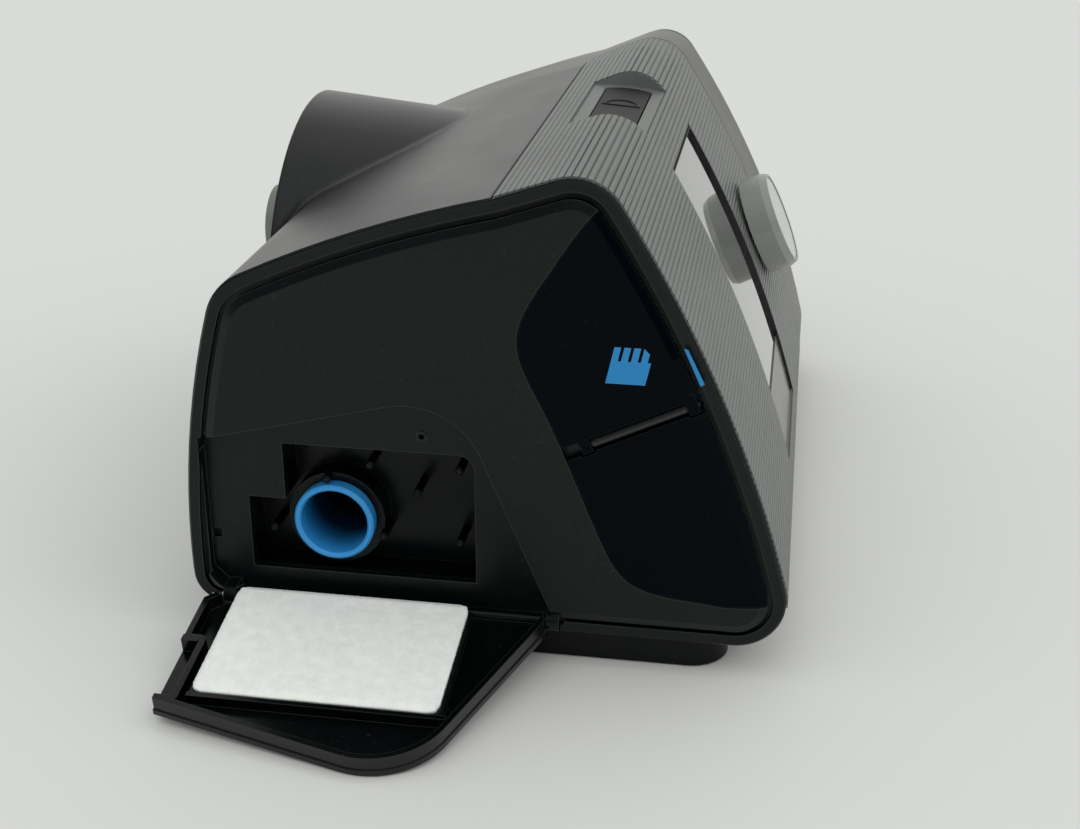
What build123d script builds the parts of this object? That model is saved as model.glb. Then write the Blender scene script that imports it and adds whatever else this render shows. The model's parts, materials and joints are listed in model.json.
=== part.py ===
from build123d import *
from math import asin, atan2, cos, degrees, hypot, radians, sin
import os

# Bedside CPAP machine with a built-in humidifier.
# Frame: +X towards the water tub, -Y towards the front (screen), +Z up.
# The filter door lies open. All sizes are in millimetres.

# ---------------------------------------------------------------- driving sizes
# Housing, measured from the filter end (x = 0), the rear wall (y = 0) and the table (z = 0)
SHELL_LENGTH = 190.0        # grey housing along x
CAP_LENGTH = 15.0           # dark end cap of the water tub beyond the housing
BODY_DEPTH = 142.5          # rear wall to the front foot of the fascia
BODY_HEIGHT = 118.6         # table to the sharp corner over the start button
BODY_BASE = 8.0             # underside of the housing above the table
WALL = 2.2                  # moulded wall
PARTING = 0.3               # visible gap between housing pieces
GAP = 0.4                   # clearance round pieces that move
RUNNING = 0.05              # radial clearance of a shaft in its bore

REAR_TOP_Y = -9.3           # sharp corner of the rear wall and the top
REAR_TOP_Z = 88.3
REAR_RADIUS = 15.0
JOINT_Y = -72.1             # where the top cover meets the ribbed fascia
JOINT_Z = 111.1
CROWN_Y = -94.5             # sharp corner of the top and the front
CROWN_RADIUS = 12.0
TOE_RADIUS = 12.0           # front lower corner
HEEL_RADIUS = 8.0           # rear lower corner
FAR_DROP = 7.0              # how far the rear top falls towards the tub end
DROP_START = 140.0          # x where that fall starts

FASCIA_LENGTH = 163.0       # ribbed part of the front
FASCIA_CORNER = 20.0        # its rounded rear corner, seen from above
RIB_DEPTH = 0.35            # the fascia's surface lies this far below its fine ribs
LOWER_TOP = 16.5            # parting height of the lower case

PLINTH_INSET = 2.0
PLINTH_FRONT_Y = -126.0
PLINTH_REAR_Y = -9.0
FOOT_HEIGHT = 0.4
FOOT_RADIUS = 7.0
SCREW_RADIUS = 2.8

HOOD_X = 107.0              # rear hood over the air outlet
HOOD_Z = 50.1
HOOD_RADIUS = 54.0
HOOD_REAR_Y = -2.5
HOOD_FRONT_Y = -62.0
HOOD_TILT = 6.0
HOOD_BLEND = 4.0
OUTLET_X = 103.0            # 22 mm outlet connector
OUTLET_Z = 71.0
OUTLET_RADIUS = 11.0
OUTLET_BORE = 9.4
OUTLET_END_Y = 10.0
OUTLET_INNER_Y = -9.0
OUTLET_SEAT_Y = -2.0        # shoulder that the hose's cuff stops against
OUTLET_STEP = 0.6

PANEL_PROUD = 2.2           # face of the side panel outside the housing's end
PANEL_FLANGE = 0.8
PANEL_INSIDE = 5.0
PANEL_GROOVE = 1.4          # width of the dark groove round the face
PANEL_FACE_INSET = 6.3
BEVEL_WIDTH = 1.9           # bevel round the face
BEVEL_DROP = 0.9

RECESS_DEPTH = 5.3          # filter recess below the panel's face
DOOR_TOP_REAR_Z = 51.2
DOOR_REAR_Y = -3.2
DOOR_CORNER_Y = -63.3
DOOR_CORNER_Z = 66.2
DOOR_CORNER_RADIUS = 18.0
DOOR_TOE_Y = -87.3
DOOR_PLATE = 1.6
DOOR_RIM = 1.4
RIM_SETBACK = 0.3           # rim inside the plate's edge, so that it clears the recess as it swings
RIM_NOTCH = 4.0             # height of the rim's notches beside the hinge ears
RIM_STEP_Z = 31.0           # where the rim's rear wall steps inwards
RIM_STEP = 4.3
HINGE_X = -0.4
HINGE_Z = 10.8
HINGE_RADIUS = 1.3
HINGE_PIN = 0.8
EAR_RADIUS = 2.4
HINGE_REAR_Y = -10.0
HINGE_FRONT_Y = -84.0
CATCH_Y = -55.0             # round catch at the recess's top
CATCH_Z = 53.9
CATCH_RADIUS = 1.3

PAD_LENGTH = 56.0           # replaceable air filter
PAD_WIDTH = 36.0
PAD_THICK = 1.6
PAD_FRAME = 1.8             # height of the frame that carries the filter above the door's plate
PAD_REAR_Y = -10.4

POCKET_FRONT_Y = -67.0
POCKET_REAR_Y = -21.8
POCKET_STEP_Y = -12.9
POCKET_TOP_Z = 49.7
POCKET_STEP_Z = 35.5
POCKET_BOTTOM_Z = 17.0
POCKET_DEPTH = 9.5
PIN_RADIUS = 1.0
PIN_LENGTH = 8.8            # pins that keep the filter off the pocket's floor
PIN_PLACES = [(-31.6, 40.7), (-42.1, 45.1), (-63.3, 45.3), (-53.2, 38.8),
              (-44.7, 26.8), (-63.0, 26.6), (-18.2, 27.1)]
INLET_START = 3.4           # near end of the blue tube
INLET_Y = -33.0
INLET_Z = 29.8
INLET_RADIUS = 9.6
INLET_WALL = 1.5
INLET_LENGTH = 20.0

COVER_THICK = 2.0           # glossy covers of the card slot and the adapter port
COVER_GAP = 0.25
BAR_RADIUS = 1.0
BAR_JOURNAL = 0.5           # thinner ends that the card cover's rings turn on
RING_RADIUS = 1.9
BAR_REAR = (-91.8, 55.8)    # y, z of the hinge bar's ends
BAR_FRONT = (-117.6, 68.1)
CARD_WIDTH = 24.0
CARD_LENGTH = 32.0
CARD_THICK = 2.1
CARD_Y = -101.0             # middle of the card's slot
CARD_Z = 81.0
CARD_LEAN = -26.0

WINDOW_NEAR_X = 63.0
WINDOW_FAR_X = 110.0
WINDOW_TOP_Z = 101.7
WINDOW_DROP = 0.9           # lens below the housing's surface
HOME_DROP = 0.6             # home key below it
DISPLAY_FRONT = WALL + 0.2  # display behind the fascia's wall
DISPLAY_THICK = 4.0
FRONT_BOARD = DISPLAY_FRONT + DISPLAY_THICK
HOME_TOP_Z = 43.5
HOME_BOTTOM_Z = 27.0
HOME_TRAVEL = 0.8

START_NEAR_X = 59.5
START_FAR_X = 102.5
START_REAR_Y = -83.4
START_FRONT_Y = -95.8
START_ARCH = 3.0            # how far the key's far edge bulges
START_TRAVEL = 1.0
MARK_X = 84.0               # half-moon mark on the start key
MARK_DEPTH = 6.5
MARK_WIDTH = 9.6
MARK_LINE = 0.7
MARK_HEIGHT = 0.25
SCOOP_NEAR_X = 57.5
SCOOP_FAR_X = 108.5
SCOOP_ARCH = 3.5            # how far the scoop's far wall bulges
SCOOP_REAR = (-80.3, 113.3)  # y, z of the floor's rear and front edges
SCOOP_FRONT = (-98.6, 111.8)

DIAL_X = 133.5
DIAL_Z = 67.0
DIAL_RADIUS = 14.0
DIAL_HEIGHT = 8.0
DIAL_SKIRT = 6.0
DIAL_FACE_RADIUS = 12.4
DIAL_TRAVEL = 0.6
DIAL_BASE = DIAL_TRAVEL + GAP  # knob's underside above the fascia
SHAFT_RADIUS = 3.0

BAY_START_X = 112.0
BAY_FRONT_Y = -106.0
BAY_REAR_Y = -13.5
BAY_TOP_Z = 76.0
BAY_WALL = 1.8
TUB_GAP = 0.6
TUB_WALL = 2.0
TUB_RIM_Z = 60.0
TUB_LID_TOP_Z = 72.0
HEATER_THICK = 2.0

SOCKET_X = 40.0
SOCKET_Z = 26.0
SOCKET_WIDTH = 22.0
SOCKET_HEIGHT = 15.0
SOCKET_DEPTH = 16.0

BLOWER_X = 62.0
BLOWER_Y = -66.0
BLOWER_Z = 34.0
BLOWER_RADIUS = 31.0
BLOWER_HEIGHT = 22.0
IMPELLER_RADIUS = 24.0
IMPELLER_BLADES = 11
MOUNT_RADIUS = 4.0

BOARD_X = (28.0, 104.0)     # main circuit board under the blower
BOARD_Y = (-118.0, -24.0)
BOARD_Z = 15.0
BOARD_THICK = 1.6
START_BOARD_Z = 104.8       # top of the small board under the start button
START_SWITCH = (80.0, -90.0)  # centre of the switch on it
SWITCH_SIZE = 6.0
SWITCH_PLAY = 0.2           # a pressed key stops this far from its switch

FLOOR_Z = BODY_BASE + WALL


# ---------------------------------------------------------------- housing form
def side_outline(inset=0.0, drop=0.0):
    """End view of the housing (local x = y, local y = z), drop lowers the rear top."""
    heel = (0.9, BODY_BASE)
    rear_top = (REAR_TOP_Y - 0.3 * drop, REAR_TOP_Z - drop)
    joint = (JOINT_Y, JOINT_Z - 0.65 * drop)
    crown = (CROWN_Y, BODY_HEIGHT - 0.4 * drop)
    toe = (0.2 - BODY_DEPTH, BODY_BASE)
    edges = [
        ThreePointArc(heel, (-1.0, 52.8), rear_top),
        ThreePointArc(rear_top, (-39.0, 101.2 - 0.85 * drop), joint),
        Line(joint, crown),
        ThreePointArc(crown, (-118.4, 77.6), toe),
        Line(toe, heel),
    ]
    face = make_face(edges)
    face = fillet(face.vertices().sort_by_distance(heel)[0], HEEL_RADIUS)
    face = fillet(face.vertices().sort_by_distance(toe)[0], TOE_RADIUS)
    face = fillet(face.vertices().sort_by_distance(crown)[0], CROWN_RADIUS)
    face = fillet(face.vertices().sort_by_distance(rear_top)[0], REAR_RADIUS)
    return offset(face, -inset) if inset else face


def slab(face, start, end):
    """Extrude an end-view face from x = start to x = end."""
    return extrude(Plane.YZ.offset(start) * face, end - start)


def housing(inset=0.0, start=0.0, end=SHELL_LENGTH):
    """The closed housing form, whose rear top falls away towards the tub end."""
    middle = (DROP_START + SHELL_LENGTH) / 2
    body = slab(side_outline(inset), start, DROP_START)
    stations = [(DROP_START, 0.0), (middle, 0.3 * FAR_DROP), (SHELL_LENGTH, FAR_DROP)]
    for (x0, drop0), (x1, drop1) in zip(stations[:-1], stations[1:]):
        first = Plane.YZ.offset(x0) * side_outline(inset, drop0)
        second = Plane.YZ.offset(x1) * side_outline(inset, drop1)
        body += loft([first.face(), second.face()], ruled=True)
    if end > SHELL_LENGTH:
        body += slab(side_outline(inset, FAR_DROP), SHELL_LENGTH, end)
    return body


def skin(outer, inner, start, end):
    """A layer that follows the straight part of the housing between two insets."""
    return slab(side_outline(outer), start, end) - slab(side_outline(inner), start, end)


def block(x0, x1, y0, y1, z0, z1):
    """A box given by its two corners."""
    return Pos((x0 + x1) / 2, (y0 + y1) / 2, (z0 + z1) / 2) * Box(abs(x1 - x0), abs(y1 - y0), abs(z1 - z0))


def rod_x(x0, x1, y, z, radius):
    """A cylinder along x."""
    return Pos((x0 + x1) / 2, y, z) * Rot(0, 90, 0) * Cylinder(radius, x1 - x0)


def rod_y(y0, y1, x, z, radius):
    """A cylinder along y."""
    return Pos(x, (y0 + y1) / 2, z) * Rot(90, 0, 0) * Cylinder(radius, abs(y1 - y0))


def rod_z(z0, z1, x, y, radius):
    """A cylinder along z."""
    return Pos(x, y, (z0 + z1) / 2) * Cylinder(radius, z1 - z0)


def front_point(z):
    """Point on the front face at a height, and its outward direction, in the y-z plane."""
    face = side_outline()
    hits = face.wire().edges().filter_by(GeomType.CIRCLE).sort_by(SortBy.RADIUS)[-2:]
    arc = min(hits, key=lambda edge: edge.center().X)
    points = [arc @ (i / 200) for i in range(201)]
    spot = min(points, key=lambda p: abs(p.Y - z))
    tangent = arc % (points.index(spot) / 200)
    normal = Vector(tangent.Y, -tangent.X)
    if normal.X > 0:
        normal = normal * -1
    return Vector(0, spot.X, spot.Y), Vector(0, normal.X, normal.Y)


def hood(radius, front_y, rear_y):
    """Round hood over the outlet, tilted up to the rear and cut square at its rim."""
    length = abs(front_y - rear_y) + 20
    rod = Pos(HOOD_X, (front_y + rear_y) / 2, HOOD_Z) * Rot(90 + HOOD_TILT, 0, 0) * Cylinder(radius, length)
    keep = block(HOOD_X - 70, HOOD_X + 70, front_y, rear_y, LOWER_TOP + 20, 130)
    return rod & keep


outer_form = housing()
hood_form = hood(HOOD_RADIUS, HOOD_FRONT_Y, HOOD_REAR_Y)
shell_form = outer_form + hood_form
blend_edges = new_edges(outer_form, hood_form, combined=shell_form)
blend_edges = blend_edges.filter_by(lambda edge: edge.center().Z > 88 and edge.center().Y < -6)
shell_form = fillet(blend_edges, HOOD_BLEND)
cavity = housing(WALL, start=-1.0, end=SHELL_LENGTH + 1)
cavity += hood(HOOD_RADIUS - WALL, HOOD_FRONT_Y, HOOD_REAR_Y - WALL)
shell = shell_form - cavity


def fascia_region(shrink):
    """Plan form of the ribbed fascia, as a tall block that cuts the shell."""
    length = FASCIA_LENGTH - shrink
    rear = JOINT_Y - shrink
    plan = Pos(length / 2 - 5, (rear - BODY_DEPTH - 10) / 2) * Rectangle(length + 10, BODY_DEPTH + 10 + rear)
    corner = plan.vertices().group_by(Axis.X)[-1].sort_by(Axis.Y)[-1]
    plan = fillet(corner, FASCIA_CORNER)
    return Pos(0, 0, LOWER_TOP + shrink) * extrude(plan, BODY_HEIGHT)


# ---------------------------------------------------------------- housing pieces
def make_top_cover():
    """Smooth cover: top, rear, far band and hood, with holes for outlet and power inlet."""
    cover = shell - fascia_region(0) - block(-5, 250, -160, 20, 0, LOWER_TOP)
    cover -= rod_y(-20, 20, OUTLET_X, OUTLET_Z, OUTLET_RADIUS + 1.5)
    half_w = SOCKET_WIDTH / 2 + PARTING
    half_h = SOCKET_HEIGHT / 2 + PARTING
    cover -= block(SOCKET_X - half_w, SOCKET_X + half_w, -8, 8, SOCKET_Z - half_h, SOCKET_Z + half_h)
    return cover


def below_scoop(lift=0.0):
    """Half space under the scoop's flat floor."""
    (rear_y, rear_z), (front_y, front_z) = SCOOP_REAR, SCOOP_FRONT
    normal = (0, front_z - rear_z, rear_y - front_y)
    floor = Plane(origin=(START_NEAR_X, rear_y, rear_z + lift), x_dir=(1, 0, 0), z_dir=normal)
    return floor * Box(150, 80, 60, align=(Align.CENTER, Align.CENTER, Align.MAX))


def arched_plan(near_x, far_x, front_y, rear_y, arch):
    """Plan form with a straight near edge and a far edge that bulges to far_x."""
    side_x = far_x - arch
    edges = [
        Line((side_x, rear_y), (near_x, rear_y)),
        Line((near_x, rear_y), (near_x, front_y)),
        Line((near_x, front_y), (side_x, front_y)),
        ThreePointArc((side_x, front_y), (far_x, (front_y + rear_y) / 2), (side_x, rear_y)),
    ]
    return make_face(edges)


def start_key_plan(shrink=0.0):
    """Plan form of the start key, drawn in all round."""
    return arched_plan(START_NEAR_X + shrink, START_FAR_X + START_ARCH - shrink,
                       START_FRONT_Y + shrink, START_REAR_Y - shrink, START_ARCH)


def upright(plan, low, high):
    """Extrude a plan form between two heights."""
    return Pos(0, 0, low) * extrude(plan, high - low)


def start_scoop():
    """Flat-floored space round the start key with an arched far wall."""
    plan = arched_plan(SCOOP_NEAR_X, SCOOP_FAR_X, SCOOP_FRONT[0], SCOOP_REAR[0], SCOOP_ARCH)
    return upright(plan, 100, 125) - below_scoop()


def dial_plane(height):
    """Plane on the dial's axis, a height above the front face."""
    point, normal = front_point(DIAL_Z)
    origin = Vector(DIAL_X, point.Y, point.Z) + normal * height
    return Plane(origin=origin, x_dir=(1, 0, 0), z_dir=normal)


def make_fascia():
    """Ribbed front with window, home and start openings, a scoop and the dial's stem hole."""
    panel = shell & fascia_region(PARTING)
    thick = skin(0, 6.0, SCOOP_NEAR_X - 3, SCOOP_FAR_X + 3)
    panel += thick & block(0, 200, SCOOP_FRONT[0] - 1.5, SCOOP_REAR[0] + 1.5, 90, 125)
    for x in (START_NEAR_X + 2, START_FAR_X - 2):
        panel += rod_z(START_BOARD_Z, START_BOARD_Z + 5, x, SCOOP_REAR[0] - 1, 1.5)
    panel -= start_scoop()
    panel -= upright(start_key_plan(), 95, 125)
    panel -= block(WINDOW_NEAR_X, WINDOW_FAR_X, -150, -99, HOME_BOTTOM_Z, WINDOW_TOP_Z)
    panel -= dial_plane(0) * Cylinder(SHAFT_RADIUS + 0.6, 20)
    return panel - skin(-1, RIB_DEPTH, -1, FASCIA_LENGTH - FASCIA_CORNER / 2)


def make_lower_case():
    """Black tray under the machine with its plinth, a door notch and screw pockets."""
    tray = housing() - housing(WALL, start=-1.0, end=SHELL_LENGTH + 1)
    tray = tray & block(0, SHELL_LENGTH, -160, 20, 0, LOWER_TOP - PARTING)
    plinth = block(PLINTH_INSET, SHELL_LENGTH - 4, PLINTH_FRONT_Y, PLINTH_REAR_Y, FOOT_HEIGHT, BODY_BASE)
    plinth = fillet(plinth.edges().filter_by(Axis.Z), 9.0)
    tray += plinth
    tray -= block(-1, PANEL_INSIDE + PARTING, -200, 20, 0, LOWER_TOP) & slab(side_outline(-1), -1, 10)
    tray += block(PANEL_INSIDE, 12, PLINTH_FRONT_Y + 9, PLINTH_REAR_Y - 9, FOOT_HEIGHT, BODY_BASE)
    for x, y in screw_places():
        tray -= rod_z(0, FOOT_HEIGHT + 3.2, x, y, SCREW_RADIUS + 0.4)
        tray -= rod_z(0, 40, x, y, 1.5)
    for x, y in foot_places():
        tray -= rod_z(0, FOOT_HEIGHT + 0.8, x, y, FOOT_RADIUS + 0.2)
    for x, y in board_posts():
        tray += rod_z(FLOOR_Z - 1, BOARD_Z, x, y, 2.6)
        tray += rod_z(BOARD_Z, BOARD_Z + BOARD_THICK + 0.8, x, y, 1.2)
    return tray


def board_posts():
    """Centres of the posts that carry the main board."""
    return [(x, y) for x in (BOARD_X[0] + 12, BOARD_X[1] - 12) for y in (BOARD_Y[0] + 5, BOARD_Y[1] - 5)]


def foot_places():
    """Centres of the rubber feet."""
    xs = [PLINTH_INSET + 12, SHELL_LENGTH - 16]
    ys = [PLINTH_FRONT_Y + 12, PLINTH_REAR_Y - 12]
    return [(x, y) for x in xs for y in ys]


def screw_places():
    """Centres of the underside screws."""
    xs = [PLINTH_INSET + 28, SHELL_LENGTH - 92]
    ys = [PLINTH_FRONT_Y + 12, PLINTH_REAR_Y - 12]
    return [(x, y) for x in xs for y in ys]


def make_rubber_feet():
    """Four round rubber feet let into the plinth."""
    feet = []
    for x, y in foot_places():
        foot = rod_z(0, FOOT_HEIGHT + 0.8, x, y, FOOT_RADIUS)
        feet.append(chamfer(foot.edges().group_by(Axis.Z)[0], 0.5))
    return feet


def make_case_screws():
    """Pan-head screws in the plinth's pockets."""
    screws = []
    for x, y in screw_places():
        head = rod_z(FOOT_HEIGHT + 1.4, FOOT_HEIGHT + 3.2, x, y, SCREW_RADIUS)
        shank = rod_z(FOOT_HEIGHT + 3.2, FLOOR_Z, x, y, 1.4)
        drive = Pos(x, y, FOOT_HEIGHT + 1.4) * (Box(3.2, 0.7, 1.4) + Box(0.7, 3.2, 1.4))
        screws.append(head + shank - drive)
    return screws


# ---------------------------------------------------------------- side panel and filter
def door_outline(grow=0.0):
    """Closed filter door, end view (local x = y, local y = z)."""
    toe_z = BODY_BASE + 0.6
    corners = [
        (DOOR_REAR_Y, toe_z + 8),
        (DOOR_REAR_Y - 8, toe_z),
        (DOOR_TOE_Y, toe_z),
        (DOOR_CORNER_Y, DOOR_CORNER_Z),
        (DOOR_REAR_Y, DOOR_TOP_REAR_Z),
    ]
    face = make_face(Polyline(*corners, close=True))
    face = fillet(face.vertices().sort_by_distance(corners[3])[0], DOOR_CORNER_RADIUS)
    return offset(face, grow) if grow else face


def cover_outline(gap=0.0):
    """Glossy area of the two covers, end view, drawn in by a gap; the panel's face cuts it later."""
    top = (-97.0 - gap, 112.0)
    knee = (-98.0 - gap, 30.5 + gap / 2)
    front = (-143.0, 20.6 + gap)
    side = [top, (-84.6 - gap, 95.5), (-77.8 - gap, 80.0), (-82.8 - gap, 66.0), knee]
    under = [knee, (-104.0 - gap / 2, 22.9 + gap), (-120.0, 19.5 + gap), front]
    edges = [
        Spline(*side, tangents=[(1.1, -1.0), (-0.45, -1.0)]),
        Spline(*under, tangents=[(-0.5, -1.0), (-1.0, 0.12)]),
        Line(front, (-143.0, 112.0)),
        Line((-143.0, 112.0), top),
    ]
    return make_face(edges)


def bar_direction():
    """Unit vector along the hinge bar, from the rear end to the front end."""
    return Vector(0, BAR_FRONT[0] - BAR_REAR[0], BAR_FRONT[1] - BAR_REAR[1]).normalized()


def bar_rod(radius, start=0.0, end=None):
    """Cylinder on the hinge bar's axis between two distances from its rear end."""
    full = (Vector(0, *BAR_FRONT) - Vector(0, *BAR_REAR)).length
    end = full if end is None else end
    along = bar_direction()
    centre = Vector(0, *BAR_REAR) + along * ((start + end) / 2) + Vector(BAR_X, 0, 0)
    return Plane(origin=centre, z_dir=along) * Cylinder(radius, end - start)


BAR_X = -PANEL_PROUD + COVER_THICK / 2
BAR_LENGTH = (Vector(0, *BAR_FRONT) - Vector(0, *BAR_REAR)).length
EAR_LENGTH = 2.5


def ring_spaces():
    """Clearance round the card cover's two rings."""
    first = bar_rod(RING_RADIUS + GAP, -0.5, EAR_LENGTH + 0.8)
    return first + bar_rod(RING_RADIUS + GAP, BAR_LENGTH - EAR_LENGTH - 0.8, BAR_LENGTH + 0.5)


def bar_side(distance, above):
    """Half space above or below the hinge bar, starting a distance from its axis."""
    along = bar_direction()
    upward = Vector(0, -along.Z, along.Y)
    if upward.Z < 0:
        upward = upward * -1
    if not above:
        upward = upward * -1
    centre = Vector(0, *BAR_REAR) + along * (BAR_LENGTH / 2) + upward * (distance + 40)
    return Plane(origin=centre, x_dir=(1, 0, 0), z_dir=upward) * Box(30, 160, 80)


def raised_form(end):
    """Raised face of the end panel with its wide bevel, from its surface to x = end."""
    form = slab(side_outline(PANEL_FACE_INSET - BEVEL_WIDTH), -PANEL_PROUD, end)
    face = form.faces().sort_by(Axis.X)[0]
    return chamfer(face.edges(), BEVEL_WIDTH, BEVEL_DROP, reference=face)


def make_side_panel():
    """Black end panel: flange, groove, raised face, filter recess and cover pocket."""
    flange = slab(side_outline(0.25), -PANEL_FLANGE, 0)
    flange = chamfer(flange.edges().group_by(Axis.X)[0], 0.4)
    plug = slab(side_outline(WALL + 0.3), 0, PANEL_INSIDE)
    foot = PANEL_FACE_INSET - BEVEL_WIDTH
    groove = slab(side_outline(foot - PANEL_GROOVE), -PANEL_FLANGE, PANEL_FLANGE)
    groove -= slab(side_outline(foot), -PANEL_FLANGE, PANEL_FLANGE)
    panel = flange + plug + raised_form(-PANEL_FLANGE) - groove
    recess_floor = RECESS_DEPTH - PANEL_PROUD
    recess = slab(door_outline(PARTING), -10, recess_floor)
    recess += block(-10, recess_floor, DOOR_TOE_Y - PARTING, DOOR_REAR_Y + PARTING, 0, HINGE_Z)
    recess += rod_y(HINGE_FRONT_Y - 0.3, HINGE_REAR_Y + 0.3, HINGE_X, HINGE_Z, HINGE_RADIUS + GAP)
    recess += block(0, HINGE_X + HINGE_RADIUS + GAP, HINGE_FRONT_Y, HINGE_REAR_Y, 0, HINGE_Z)
    panel -= recess
    for y0, y1 in ear_spans():
        panel += rod_y(y0, y1, HINGE_X, HINGE_Z, EAR_RADIUS)
        panel += block(HINGE_X, PANEL_INSIDE, y0, y1, HINGE_Z - EAR_RADIUS, HINGE_Z + EAR_RADIUS)
        panel -= rod_y(y0 - 1, y1 + 1, HINGE_X, HINGE_Z, HINGE_PIN + RUNNING)
    pocket = slab(cover_outline(), -10, COVER_THICK - PANEL_PROUD)
    panel -= pocket & slab(side_outline(PANEL_FACE_INSET - BEVEL_WIDTH), -10, 5)
    panel -= ring_spaces()
    panel -= pocket_form(-1, PANEL_INSIDE + 1)
    panel -= card_slot(0.3, -5, PANEL_INSIDE + 1)
    catch_bore = CATCH_RADIUS - 0.6
    catch = rod_x(recess_floor - 0.4, recess_floor, CATCH_Y, CATCH_Z, CATCH_RADIUS)
    panel += catch - rod_x(recess_floor - 1, recess_floor, CATCH_Y, CATCH_Z, catch_bore)
    panel -= rod_x(recess_floor - 1, recess_floor + 1.2, CATCH_Y, CATCH_Z, catch_bore)
    panel -= block(-1, recess_floor + 1.4, -5.4, -3.2, 24.0, 26.4)
    return panel


def ear_spans():
    """The two ends of the door hinge where the panel carries its pins."""
    front = (HINGE_FRONT_Y - 3.4, HINGE_FRONT_Y - 0.4)
    rear = (HINGE_REAR_Y + 0.4, HINGE_REAR_Y + 3.4)
    return [front, rear]


def pocket_outline(grow=0.0):
    """Opening of the filter pocket, end view."""
    corners = [
        (POCKET_FRONT_Y, POCKET_BOTTOM_Z),
        (POCKET_STEP_Y, POCKET_BOTTOM_Z),
        (POCKET_STEP_Y, POCKET_STEP_Z),
        (POCKET_REAR_Y, POCKET_STEP_Z),
        (POCKET_REAR_Y, POCKET_TOP_Z),
        (POCKET_FRONT_Y, POCKET_TOP_Z),
    ]
    face = make_face(Polyline(*corners, close=True))
    face = fillet(face.vertices().sort_by_distance(corners[5])[0], 4.0)
    return offset(face, grow, kind=Kind.INTERSECTION) if grow else face


def pocket_form(start, end):
    """The filter pocket's space between two x positions."""
    return slab(pocket_outline(), start, end)


def make_filter_pocket():
    """Tray behind the panel with the inlet bore, a ring round it and seven filter pins."""
    floor_x = RECESS_DEPTH - PANEL_PROUD + POCKET_DEPTH
    tray = slab(pocket_outline(1.8), PANEL_INSIDE, floor_x + 1.8) - pocket_form(0, floor_x)
    tray += rod_x(floor_x - 6, floor_x, INLET_Y, INLET_Z, INLET_RADIUS + 2.0)
    tray -= rod_x(0, floor_x + 5, INLET_Y, INLET_Z, INLET_RADIUS)
    for y, z in PIN_PLACES:
        pin = rod_x(floor_x - PIN_LENGTH, floor_x + 0.5, y, z, PIN_RADIUS)
        tray += chamfer(pin.edges().group_by(Axis.X)[0], 0.4)
    tray -= rod_x(0, floor_x + 5, INLET_Y, INLET_Z, INLET_RADIUS)
    return tray


def make_inlet_tube():
    """Blue silicone tube that carries filtered air to the blower."""
    end = INLET_START + INLET_LENGTH
    tube = rod_x(INLET_START, end, INLET_Y, INLET_Z, INLET_RADIUS)
    tube -= rod_x(INLET_START, end, INLET_Y, INLET_Z, INLET_RADIUS - INLET_WALL)
    rim = tube.edges().group_by(Axis.X)[0]
    return chamfer(rim, 0.5)


def door_angle():
    """Degrees that the closed door swings until its tip lies on the table."""
    reach = door_outline().bounding_box().max.Y - HINGE_Z
    proud = HINGE_X + PANEL_PROUD
    return 90 + degrees(asin(HINGE_Z / hypot(reach, proud)) - atan2(proud, reach))


DOOR_OPEN = door_angle()


def open_door(shape):
    """Swing a piece of the closed door down to the table."""
    return shape.rotate(Axis((HINGE_X, 0, HINGE_Z), (0, 1, 0)), -DOOR_OPEN)


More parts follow.
